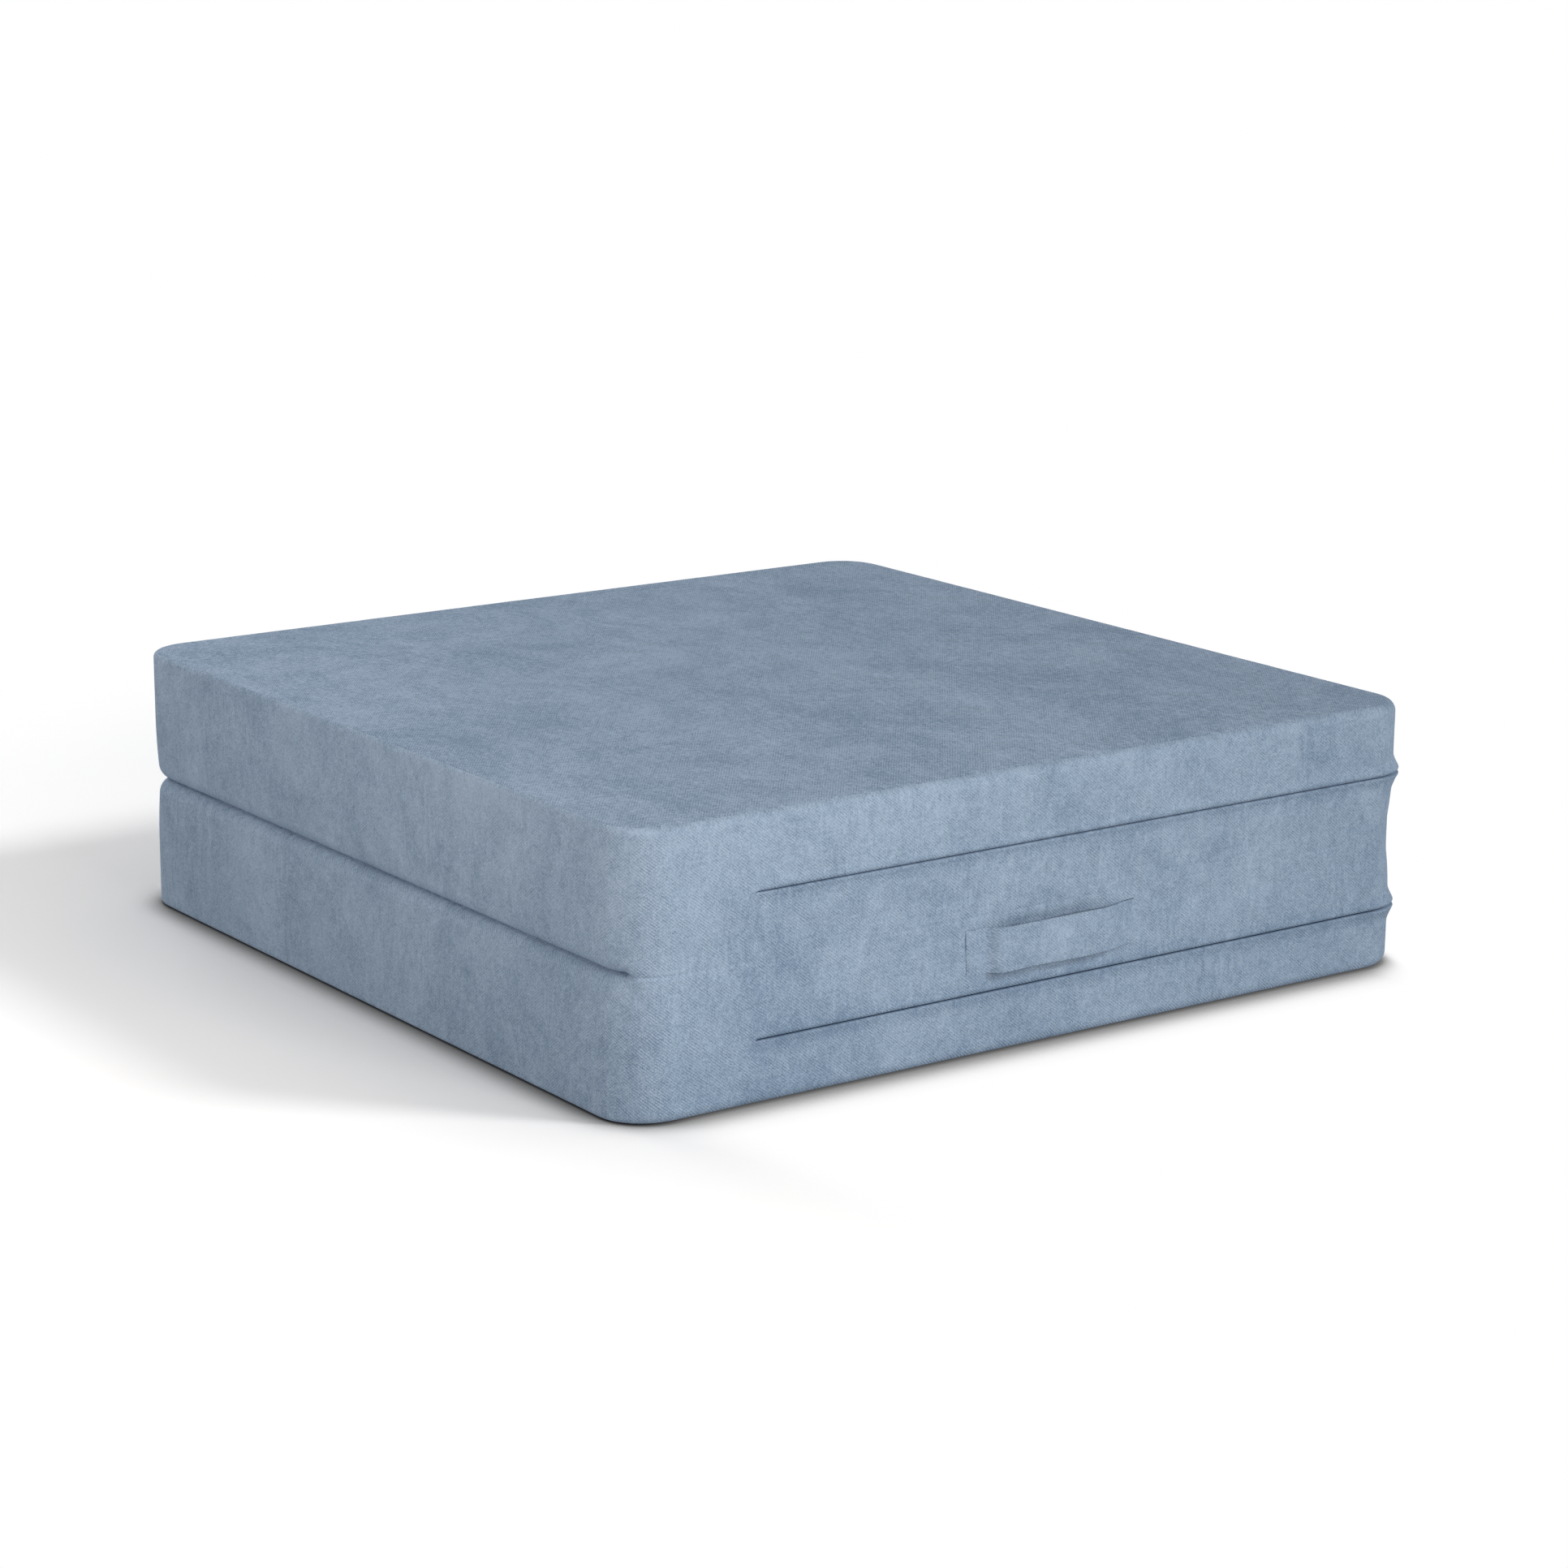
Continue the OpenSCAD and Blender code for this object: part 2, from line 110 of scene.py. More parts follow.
ZIP_S0, ZIP_S1 = on_front(-0.358), on_right(0.358)
SLIDER_S = on_right(0.3484)


def place(s):
    """Frame of each column: where its corner centre lies, as a share of the centre distance, and the way out."""
    s = np.asarray(s, float) % PERIMETER
    part = np.searchsorted(STARTS, s, side="right") - 1
    u = s - STARTS[part]
    centre, out = np.zeros((len(s), 2)), np.zeros((len(s), 2))
    for k in range(9):
        m = part == k
        start = math.radians(90 + 45 * (k - k % 2))
        if k % 2:
            a = start + u[m] / CORNER_R
            out[m] = np.stack([np.cos(a), np.sin(a)], 1)
            middle = start + math.pi / 4
            centre[m] = [math.copysign(1, math.cos(middle)), math.copysign(1, math.sin(middle))]
        else:
            n = np.array([math.cos(start), math.sin(start)]).round(12)
            t = (u[m] - (0 if k == 0 else STRAIGHT)) / STRAIGHT
            out[m] = n
            centre[m] = n + t[:, None] * np.array([-n[1], n[0]])
    return centre, out


def on_outline(frames, inset):
    """Plan position of each column at an inset from the outline. inset is a number or one per column."""
    centre, out = frames
    inset = np.broadcast_to(np.asarray(inset, float), (len(centre),))
    r = np.maximum(CORNER_R - inset, RING_MIN_R)
    c = HALF - inset - r
    return centre * c[:, None] + out * r[:, None]


def ease(u):
    """Smooth step from 0 to 1."""
    v = np.clip(u, 0, 1)
    return v * v * (3 - 2 * v)


def along_zip(s):
    """Distance of each column from the nearer end of the zip, negative beyond it."""
    return np.minimum(s - ZIP_S0, ZIP_S1 - s)


def side_inset(z, extra=0.0):
    """How far a side has drawn in at a height of the slab."""
    return (DRAW + extra) * np.clip((np.asarray(z, float) - MIDDLE_Z) / (SLAB_T - FOLD_TALL - MIDDLE_Z), 0, 1) ** 2


def full_corner(s):
    """Share by which the cloth beside the fold's right end is full, out to where the two slabs meet."""
    return ease((s - CORNER_S + 0.05) / 0.035) * ease((RIGHT_S + 0.01 - s) / 0.03)


def fold_round(s):
    """Depth and height of the cover's rounding next to the other slab."""
    slack = 1 - full_corner(s)
    return 0.001 + (FOLD_DEEP - 0.001) * slack, 0.001 + (FOLD_TALL - 0.001) * slack


def outer_round(s):
    """Radius of the rounding at the outer face: soft at the front and the right side, tight elsewhere."""
    s = np.asarray(s, float) % PERIMETER
    tight = ease((FRONT_S - s) / ARC) + ease((s - STARTS[8] + ARC) / ARC)
    return EDGE_R - 0.006 * tight


def corner_draw(s):
    """Extra draw-in at the height of the fold on the front-right corner."""
    return 0.0018 * ease((s - CORNER_S) / 0.03) * ease((RIGHT_S + 0.02 - s) / 0.035)


def edge_shape(s, by_fold):
    """Draw-in, depth, height and level of the rounding by the fold, or of that at the slab's outer face."""
    if by_fold:
        return DRAW + corner_draw(s), *fold_round(s), SLAB_T
    return 0.0, outer_round(s), outer_round(s), 0.0


def strap_dent(s, z):
    """Dent of the lower slab along the upper edge of its strap."""
    x = np.asarray(s, float) - on_front(0.0)
    return 0.0021 * np.exp(-((z - 0.1285) / 0.0065) ** 2) * ease((x + 0.065) / 0.03) * ease((0.088 - x) / 0.05)


def seam_dip(distance):
    return 0.0004 * np.exp(-(distance / 0.0014) ** 2)


def crown_rise(x, y, rise):
    """Rise of the upper slab's sleeping face."""
    reach = HALF - EDGE_R
    gx = np.clip(1 - (np.abs(x) / reach) ** 2, 0, 1) ** 0.8
    gy = np.clip(1 - (np.abs(y) / reach) ** 2, 0, 1) ** 0.8
    return rise * gx * gy


def wave(s, length, seed, octaves=3):
    """Smooth noise from -1 to 1 along a line, periodic over the outline."""
    rng = np.random.default_rng(seed)
    total, scale = np.zeros(len(s)), 0
    for k in range(octaves):
        count = max(4, round(PERIMETER / length * 2 ** k))
        knots = rng.uniform(-1, 1, count)
        t = (s % PERIMETER) / PERIMETER * count
        i = np.floor(t).astype(int) % count
        f = ease(t - np.floor(t))
        total += (knots[i] * (1 - f) + knots[(i + 1) % count] * f) / 2 ** k
        scale += 1 / 2 ** k
    return total / scale


def to_object(name, points, faces, uvs, turned=False, sharp=35):
    """Mesh object from points, faces and one UV pair for each corner. turned mirrors it to the upper slab."""
    points = np.array(points, float)
    if turned:
        points[:, 2] = STACK - points[:, 2]
        faces = [f[::-1] for f in faces]
        uvs = [u[::-1] for u in uvs]
    mesh = bpy.data.meshes.new(name)
    mesh.from_pydata(points.tolist(), [], [list(map(int, f)) for f in faces])
    layer = mesh.uv_layers.new(name="cloth")
    layer.data.foreach_set("uv", np.array([c for u in uvs for c in u], np.float32).ravel())
    mesh.polygons.foreach_set("use_smooth", [True] * len(mesh.polygons))
    mesh.set_sharp_from_angle(angle=math.radians(sharp))
    mesh.update()
    o = bpy.data.objects.new(name, mesh)
    bpy.context.scene.collection.objects.link(o)
    return o


def ring_quads(base, m, rings):
    """Quads between rings of m points that follow each other from index base on."""
    return [(base + k * m + c, base + k * m + (c + 1) % m,
             base + (k + 1) * m + (c + 1) % m, base + (k + 1) * m + c)
            for k in range(rings - 1) for c in range(m)]


def square_patch(ring):
    """Inner points of the square patch that closes a ring, blended from its four sides."""
    n = len(ring) // 4
    u = np.arange(1, n)[None, :, None] / n
    v = np.arange(1, n)[:, None, None] / n
    front, right = ring[n + 1:2 * n], ring[2 * n + 1:3 * n]
    back, left = ring[:3 * n:-1], ring[n - 1:0:-1]
    c00, c10, c11, c01 = ring[n], ring[2 * n], ring[3 * n], ring[0]
    return ((1 - v) * front[None] + v * back[None] + (1 - u) * left[:, None] + u * right[:, None]
            - (1 - u) * (1 - v) * c00 - u * (1 - v) * c10 - u * v * c11 - (1 - u) * v * c01)


def patch_quads(n, ring_start, inner_start):
    """Quads of a square patch of n by n cells, from the indices of its ring and of its inner points."""
    m = 4 * n
    index = {}
    for i in range(n + 1):
        index[i, 0], index[i, n] = ring_start + (n + i) % m, ring_start + (4 * n - i) % m
        index[0, i], index[n, i] = ring_start + (n - i) % m, ring_start + (2 * n + i) % m
    for j in range(1, n):
        for i in range(1, n):
            index[i, j] = inner_start + (j - 1) * (n - 1) + i - 1
    return [(index[i, j], index[i + 1, j], index[i + 1, j + 1], index[i, j + 1])
            for j in range(n) for i in range(n)]


def tube_faces(k, m):
    """Faces of a closed tube of k rows by m columns, and of its two ends."""
    faces = [(i * m + c, i * m + c + 1, (i + 1) % k * m + c + 1, (i + 1) % k * m + c)
             for i in range(k) for c in range(m - 1)]
    return faces + [[i * m for i in range(k)], [i * m + m - 1 for i in reversed(range(k))]]


def closed_cover(skins, fill, up, uv_shift):
    """Closed shell of a panel. skins are its outside and its inside as lists of rings. fill shapes a middle."""
    points, faces, starts = [], [], []
    for side, rings in enumerate(skins):
        base, m = len(points), len(rings[0])
        starts.append(base)
        for ring in rings:
            points.extend(ring.tolist())
        inner_start = len(points)
        points.extend(fill(square_patch(rings[-1]), side).reshape(-1, 3).tolist())
        quads = ring_quads(base, m, len(rings))
        quads += patch_quads(m // 4, base + (len(rings) - 1) * m, inner_start)
        faces += [q[::-1] for q in quads] if (side == 0) != up else quads
    rim, base = starts
    edge = [(rim + c, rim + (c + 1) % m, base + (c + 1) % m, base + c) for c in range(m)]
    faces += [q[::-1] for q in edge] if up else edge
    xy = np.array(points)[:, :2] + uv_shift
    return points, faces, [[tuple(xy[k]) for k in f] for f in faces]


def closed_cushion(rings):
    """Points and faces of the closed form through rings, with a square patch at each end."""
    m = len(rings[0])
    points = [p for ring in rings for p in ring.tolist()]
    faces = ring_quads(0, m, len(rings))
    for end in (0, len(rings) - 1):
        inner_start = len(points)
        points.extend(square_patch(rings[end]).reshape(-1, 3).tolist())
        quads = patch_quads(m // 4, end * m, inner_start)
        faces += quads if end else [q[::-1] for q in quads]
    return np.array(points), faces


def panel_columns(straight_cells, arc_cells):
    """Columns from the middle of the back-left corner on, the same number for each side."""
    half_arc, side = arc_cells // 2, 2 * STRAIGHT
    s = []
    for k in range(4):
        start = STARTS[1] + ARC / 2 + k * (side + ARC)
        s += [start + ARC / 2 * i / half_arc for i in range(half_arc)]
        s += [start + ARC / 2 + side * i / straight_cells for i in range(straight_cells)]
        s += [start + ARC / 2 + side + ARC / 2 * i / half_arc for i in range(half_arc)]
    return np.array(s)


def cushion(cells, zip_z=MIDDLE_Z, back=0.0, groove=0.0):
    """Rings of a slab's closed form, back behind its outside, with a groove where the zip lies."""
    s = panel_columns(*cells)
    frames = place(s)
    steps = np.radians(np.linspace(90, 0, 5))
    rows = [(EDGE_R + d, 0.0) for d in FLAT_INSETS]
    rows += [(EDGE_R * (1 - math.cos(a)), EDGE_R * (1 - math.sin(a))) for a in steps]
    rows += [(float(side_inset(z)), z) for z in np.linspace(EDGE_R, SLAB_T - FOLD_TALL, 10)[1:-1]]
    rows += [(DRAW + FOLD_DEEP * (1 - math.cos(a)), SLAB_T - FOLD_TALL * (1 - math.sin(a))) for a in steps[::-1]]
    rows += [(DRAW + FOLD_DEEP + d, SLAB_T) for d in FLAT_INSETS[::-1]]
    by_zip = ease((along_zip(s) + 0.02) / 0.01)
    rings = []
    for inset, z in rows:
        z = min(max(z, back), SLAB_T - back)
        dent = groove * ease((0.0215 - abs(z - zip_z)) / 0.004) * by_zip
        rings.append(np.column_stack([on_outline(frames, inset + back + dent), np.full(len(s), z)]))
    return rings


class Bulge:
    def __init__(self):
        self.tree = None
        self.simulate()

    def simulate(self):
        rings = cushion(SIM_CELLS)
        m = len(rings[0])
        rest, faces = closed_cushion(rings)
        mesh = bpy.data.meshes.new("sim")
        mesh.from_pydata(rest.tolist(), [], faces)
        mesh.update()
        o = bpy.data.objects.new("sim", mesh)
        bpy.context.scene.collection.objects.link(o)
        normals = np.zeros(len(rest) * 3)
        mesh.vertices.foreach_get("normal", normals)

        # The two seams and the face towards the other slab are held
        held = o.vertex_groups.new(name="held")
        seams = (len(FLAT_INSETS) + 1, len(rings) - len(FLAT_INSETS) - 2)
        pinned = {k * m + c for k in seams for c in range(m)}
        pinned.update(np.flatnonzero(rest[:, 2] > SLAB_T - 1e-4).tolist())
        held.add(sorted(pinned), 1.0, "REPLACE")
        c = o.modifiers.new("cloth", "CLOTH").settings
        c.quality = 6
        c.mass = 0.4
        c.tension_stiffness = c.compression_stiffness = 20
        c.shear_stiffness = 8
        c.bending_stiffness = 2
        c.vertex_group_mass = "held"
        c.use_pressure = True
        c.uniform_pressure_force = 4
        c.effector_weights.gravity = 0
        scene = bpy.context.scene
        for f in range(1, SIM_FRAMES + 1):
            scene.frame_set(f)
        eval_mesh = o.evaluated_get(bpy.context.evaluated_depsgraph_get()).to_mesh()
        swollen = np.zeros(len(rest) * 3)
        eval_mesh.vertices.foreach_get("co", swollen)
        self.height = np.maximum(((swollen.reshape(-1, 3) - rest) * normals.reshape(-1, 3)).sum(1), 0)

        # Heights count as shares of nearly the highest, on the outer face and elsewhere
        for zone in (rest[:, 2] < 1e-4, rest[:, 2] >= 1e-4):
            self.height[zone] /= max(np.percentile(self.height[zone], 98), 1e-6)
        scene.frame_set(1)
        bpy.data.objects.remove(o)
        bpy.data.meshes.remove(mesh)
        self.tree = kdtree.KDTree(len(rest))
        for k, p in enumerate(rest):
            self.tree.insert(p, k)
        self.tree.balance()

    def at(self, points, cap):
        """Swelling at points in the slab's own frame, at most about cap."""
        points = np.asarray(points, float)
        shape = points.shape[:-1]
        points = points.reshape(-1, 3)
        if self.tree is None:
            inside = np.clip((HALF - np.abs(points[:, :2]).max(1)) / 0.06, 0, 1)
            up = np.clip(1 - (np.abs(points[:, 2] - MIDDLE_Z) / MIDDLE_Z) ** 2, 0, 1)
            raw = np.maximum(ease(inside), up)
        else:
            raw = np.zeros(len(points))
            for k, p in enumerate(points):
                found = self.tree.find_n(p, 4)
                w = np.array([1 / (f[2] + 1e-4) for f in found])
                raw[k] = (w * self.height[[f[1] for f in found]]).sum() / w.sum()
        return (cap * np.tanh(raw)).reshape(shape)


def make_panel(name, outer, turned, rise, swell, bulge, uv_shift, seed, cells):
    """Panel of a cover as a closed shell: the outer one with its crown, or the flat inner one."""
    s = panel_columns(*cells)
    frames = place(s)
    angles = np.radians([72, 74, 77, 81, 85, 90])
    insets = np.array([0.0016, 0.0036, 0.0066, 0.011, 0.017, 0.026, 0.038, 0.054, 0.072])
    pucker = wave(s, 0.022, seed)
    draw, deep, tall, _ = edge_shape(s, not outer)
    skins = []
    for side in range(2):
        rings = []
        for k in range(len(angles) + len(insets)):
            if k < len(angles):
                a = angles[k]
                base, z = draw + deep * (1 - math.cos(a)), tall * (1 - math.sin(a))
                way = (math.cos(a), math.sin(a))
                run = EDGE_R * (a - SEAM_ANGLE)
            else:
                # On the flat, the rings even out to the insets of a round edge within 20 mm
                inset = insets[k - len(angles)]
                base = draw + deep + (EDGE_R - deep) * min(inset / 0.02, 1) + inset
                z, way = np.zeros(len(s)), (0.0, 1.0)
                run = EDGE_R * (math.pi / 2 - SEAM_ANGLE) + inset
            xy = on_outline(frames, base)
            lift = crown_rise(xy[:, 0], xy[:, 1], rise)
            off = -seam_dip(run) + PUCKER * pucker * math.exp(-run / 0.01)
            if swell:
                off = off + bulge.at(np.column_stack([xy, z]), swell) * ease(run / 0.01)
            if not outer:
                off = np.minimum(off, 0)
            off = off - side * CLOTH
            xy = on_outline(frames, base - off * way[0])
            height = z - lift - off * way[1]
            rings.append(np.column_stack([xy, height if outer else SLAB_T - height]))
        skins.append(rings)

    def fill(grid, side):
        x, y = grid[..., 0], grid[..., 1]
        off = np.zeros(x.shape)
        if swell:
            off = bulge.at(np.stack([x, y, np.zeros(x.shape)], -1), swell)
        off = off - side * CLOTH
        z = -crown_rise(x, y, rise) - off
        return np.stack([x, y, z if outer else SLAB_T - z], -1)

    return to_object(name, *closed_cover(skins, fill, not outer, uv_shift), turned)


def border_columns():
    """Columns of a boxing strip: closer round the corners and at the ends of the zip."""
    s = [np.arange(0, PERIMETER, 0.0068)]
    for k in range(1, 9, 2):
        s.append(STARTS[k] + ARC * np.arange(0, 17) / 16)
    near_end = np.array([-14, -10, -6, -3, 0, 1.5, 3, 5, 7.5, 10.5, 14, 19]) * 1e-3
    for end in (ZIP_S0, ZIP_S1):
        s.append(end + near_end)
    s = np.unique(np.concatenate(s).round(6))
    keep = [s[0]]
    exact = set(np.round([ZIP_S0, ZIP_S1], 6))
    for v in s[1:]:
        if v - keep[-1] < MIN_COLUMN:
            if v not in exact:
                continue
            keep.pop()
        keep.append(v)
    return np.array(keep)


def slit_shape(s, turned, zip_z):
    """Half width of the zip's slit and the height of its middle.

    It sags a little on the front and round the corner, and is wide and level where the slider runs.
    """
    along = along_zip(s)
    at_slider = np.exp(-((s - SLIDER_S) / 0.014) ** 2)
    shut, sag = (0.0003, 0.0008) if turned else (0.0005, -0.0024)
    slit = (shut + (0.0012 - shut) * at_slider) * ease(along / 0.004)
    return slit, zip_z + sag * ease((RIGHT_S - s) / (0.4 * ARC)) * ease((along + 0.02) / 0.02)


def lip_shape(s, u, lifted, turned):
    """How far the lip stands out at a distance u from the slit, and how deep the groove at its edge is.

    The lips are low on the flats, with a small tent where the stiff zip rounds the corner.
    """
    tent = np.exp(-((s - CORNER_S - ARC / 2) / 0.034) ** 2)
    height = ease((along_zip(s) + 0.014) / 0.03) * (0.0017 + 0.0045 * tent)
    reach = 0.014 + 0.006 * tent
    crest, roll = (0.0010, 0.2) if lifted else (0.0044, 0.9)
    down = 1 - roll * (1 - np.sqrt(np.clip(1 - ((crest - np.minimum(u, crest)) / crest) ** 2, 0, 1)))
    x = np.clip((u - crest) / (reach - crest), 0, 1)
    lips = height * np.where(u < crest, down, (1 - x) ** 2 * (1 + 0.8 * x))
    if lifted:
        groove = 0.0008 * np.clip(1 - u / 0.0009, 0, 1) ** 1.5
        groove = groove + 0.0005 * turned * np.exp(-((u - 0.0062) / 0.0018) ** 2)
    else:
        groove = 0.0026 * (1 - np.sqrt(np.clip(1 - np.clip(1 - u / 0.0062, 0, 1) ** 2, 0, 1)))
    return lips, groove


def strip_outside(s, frames, sign, turned, zip_z, bulge, swell, seed):
    """Rows of one half of a boxing strip, from its seam over the rounding to the slit. sign 1 is by the fold."""
    by_fold = sign > 0
    along, hem = along_zip(s), ease(along_zip(s) / 0.005)
    slit, centre = slit_shape(s, turned, zip_z)
    draw, deep, tall, edge_z = edge_shape(s, by_fold)
    pucker = wave(s, 0.02, seed + by_fold)
    soft = wave(s, 0.19, seed + 5, 2)
    rows = []
    for a in STRIP_ANGLES:
        run = EDGE_R * (SEAM_ANGLE - a)
        z = edge_z - sign * tall * (1 - math.sin(a))
        off = -seam_dip(run) + PUCKER * pucker * math.exp(-run / 0.012)
        if by_fold:
            off = np.minimum(off, 0.0001)
            if not turned:
                off = off - strap_dent(s, z)
        xy = on_outline(frames, draw + deep * (1 - math.cos(a)) - off * math.cos(a))
        rows.append(np.column_stack([xy, z + off * math.sin(a) * sign]))
    first = STRIP_ROWS[0]
    span = abs(edge_z - centre) - tall
    for q in STRIP_ROWS:
        from_centre = slit + (span - slit) * q / first
        z = centre + sign * from_centre
        inset = side_inset(z, corner_draw(s))
        run = EDGE_R * SEAM_ANGLE + first - q
        lips, groove = lip_shape(s, from_centre - slit, by_fold == turned, turned)
        stiff = 1 - 0.75 * np.exp(-(from_centre / 0.012) ** 2) * ease((along + 0.02) / 0.02)
        swollen = bulge.at(np.column_stack([on_outline(frames, inset), z]), swell)
        swollen = swollen + 0.0003 * soft * math.sin(math.pi * (first - q) / first) ** 2
        if by_fold:
            swollen = swollen * float(ease((0.05 - q) / 0.012))
        off = lips + stiff * swollen - groove * hem
        off = off + PUCKER * pucker * math.exp(-run / 0.012)
        if not turned:
            off = off - strap_dent(s, z)
        rows.append(np.column_stack([on_outline(frames, inset - off), z]))
    return rows


def strip_inside(s, frames, sign, turned, zip_z):
    """Rows behind that half: the slit's wall, the space under the lip, the folded hem and the strip's back."""
    slit, centre = slit_shape(s, turned, zip_z)
    draw, deep, tall, edge_z = edge_shape(s, sign > 0)
    hem = ease(along_zip(s) / 0.005)
    depth, from_centre = np.where(along_zip(s) > 1e-5, 0.0032, CLOTH), slit + 0.00025 * hem
    rows = []
    for open_d, open_q, shut_q in ((0.0009, 0.0064, 0.004), (0.0054, 0.0068, 0.008), (0.0054, 0.0146, 0.012),
                                   (CLOTH, 0.0156, 0.0156), (None, None, None)):
        z = centre + sign * from_centre
        rows.append(np.column_stack([on_outline(frames, side_inset(z) + depth), z]))
        if open_d:
            depth = CLOTH + (open_d - CLOTH) * hem
            from_centre = shut_q + (open_q - shut_q) * hem
    for q in (0.024, 0.042):
        z = zip_z + sign * q
        rows.append(np.column_stack([on_outline(frames, side_inset(z) + CLOTH), np.full(len(s), z)]))
    for a in np.radians([0, 24, 48, 72]):
        z = edge_z - sign * (CLOTH + np.maximum(tall - CLOTH, 0.0004) * (1 - math.sin(a)))
        xy = on_outline(frames, draw + CLOTH + np.maximum(deep - CLOTH, 0.0004) * (1 - math.cos(a)))
        rows.append(np.column_stack([xy, z]))
    return rows


def make_border(name, turned, zip_z, bulge, swell, seed):
    """Boxing strip of a slab: two halves that part at the zip's slit and are one beyond its ends."""
    s = border_columns()
    m = len(s)
    frames = place(s)
    zipped = along_zip(s) > 1e-5
    halves = []
    for sign in (-1, 1):
        outside = strip_outside(s, frames, sign, turned, zip_z, bulge, swell, seed)
        halves.append(outside + strip_inside(s, frames, sign, turned, zip_z))
    rows, slit_row = len(halves[0]), len(outside)
    points = np.concatenate([np.concatenate(half) for half in halves])
    index = np.arange(2 * rows * m).reshape(2, rows, m)
    for row in (slit_row - 1, slit_row):
        for c in np.flatnonzero(~zipped):
            index[1, row, c] = index[0, row, c]
    faces, uvs = [], []
    ends = np.append(s, PERIMETER)
    for half in range(2):
        for k in range(rows):
            k2 = (k + 1) % rows
            for c in range(m):
                c2 = (c + 1) % m
                if k == slit_row - 1 and not (zipped[c] or zipped[c2]):
                    continue
                quad = (index[half, k, c], index[half, k, c2], index[half, k2, c2], index[half, k2, c])
                zs = [STACK - points[i][2] if turned else points[i][2] for i in quad]
                uv = [(ends[c], zs[0]), (ends[c + 1], zs[1]), (ends[c + 1], zs[2]), (ends[c], zs[3])]
                if half:
                    quad, uv = quad[::-1], uv[::-1]
                faces.append(quad)
                uvs.append(uv)
    used = np.unique(np.array(faces).ravel())
    renumber = np.zeros(len(points), int)
    renumber[used] = np.arange(len(used))
    faces = [tuple(renumber[list(f)]) for f in faces]
    return to_object(name, points[used], faces, uvs, turned, sharp=50)


def tube(name, s, insets, heights, turned, uv_from=0.0):
    """Closed tube along the outline, from insets and heights of shape rows by columns."""
    frames = place(s)
    k, m = insets.shape
    points = np.concatenate([np.column_stack([on_outline(frames, insets[i]), heights[i]]) for i in range(k)])
    v = [uv_from + TUBE_V_STEP * i for i in range(k + 1)]
    uvs = [[(s[c], v[i]), (s[c + 1], v[i]), (s[c + 1], v[i + 1]), (s[c], v[i + 1])]
           for i in range(k) for c in range(m - 1)]
    uvs += [[(s[c], v[i]) for i in range(k)] for c in (0, m - 1)]
    return to_object(name, points, tube_faces(k, m), uvs, turned)


def make_tape(name, side, turned, zip_z):
    """One tape: a flat woven strip with a slightly thicker edge under the chain. side is -1 for the outer one."""
    s0, s1 = ZIP_S0 - 0.008, ZIP_S1 + 0.008
    s = np.unique(np.concatenate([np.arange(s0, s1, 0.008), [s1], CORNER_S + ARC * np.arange(13) / 12]).round(6))
    s = s[(s >= s0 - 1e-9) & (s <= s1 + 1e-9)]
    face, back = 0.0058, 0.0064
    section = [(face, 0.0015), (face, 0.0046), (face + 0.0001, 0.006), (face, 0.0105), (face, 0.015),
               (back, 0.015), (back, 0.0105), (back, 0.006), (back, 0.0015)]
    if side > 0:
        section = section[::-1]
    insets = np.array([np.full(len(s), p[0]) for p in section])
    heights = np.array([np.full(len(s), zip_z + side * p[1]) for p in section])
    return tube(name, s, insets, heights, turned, 5.0)


def make_coil(name, side, turned, zip_z):
    """One coil of the chain: a ridge for each turn, half a pitch out of step with the other side."""
    pitch = 0.00125
    s = np.arange(ZIP_S0 + 0.0034, SLIDER_S + 0.0058, pitch / 2)
    turn = np.arange(len(s)) % 2 == (0 if side > 0 else 1)
    grow = np.where(turn, 1.0, 0.66)
    parted = 0.0013 * ease((s - SLIDER_S - 0.0012) / 0.0022)
    around = np.radians(np.arange(0, 360, 60) * side)
    insets = np.array([0.0047 - 0.00105 * grow * math.cos(a) for a in around])
    heights = np.array([zip_z + side * (0.0015 + parted + 0.0015 * (0.55 + 0.45 * grow) * math.sin(abs(a)))
                        for a in around])
    return tube(name, s, insets, heights, turned)


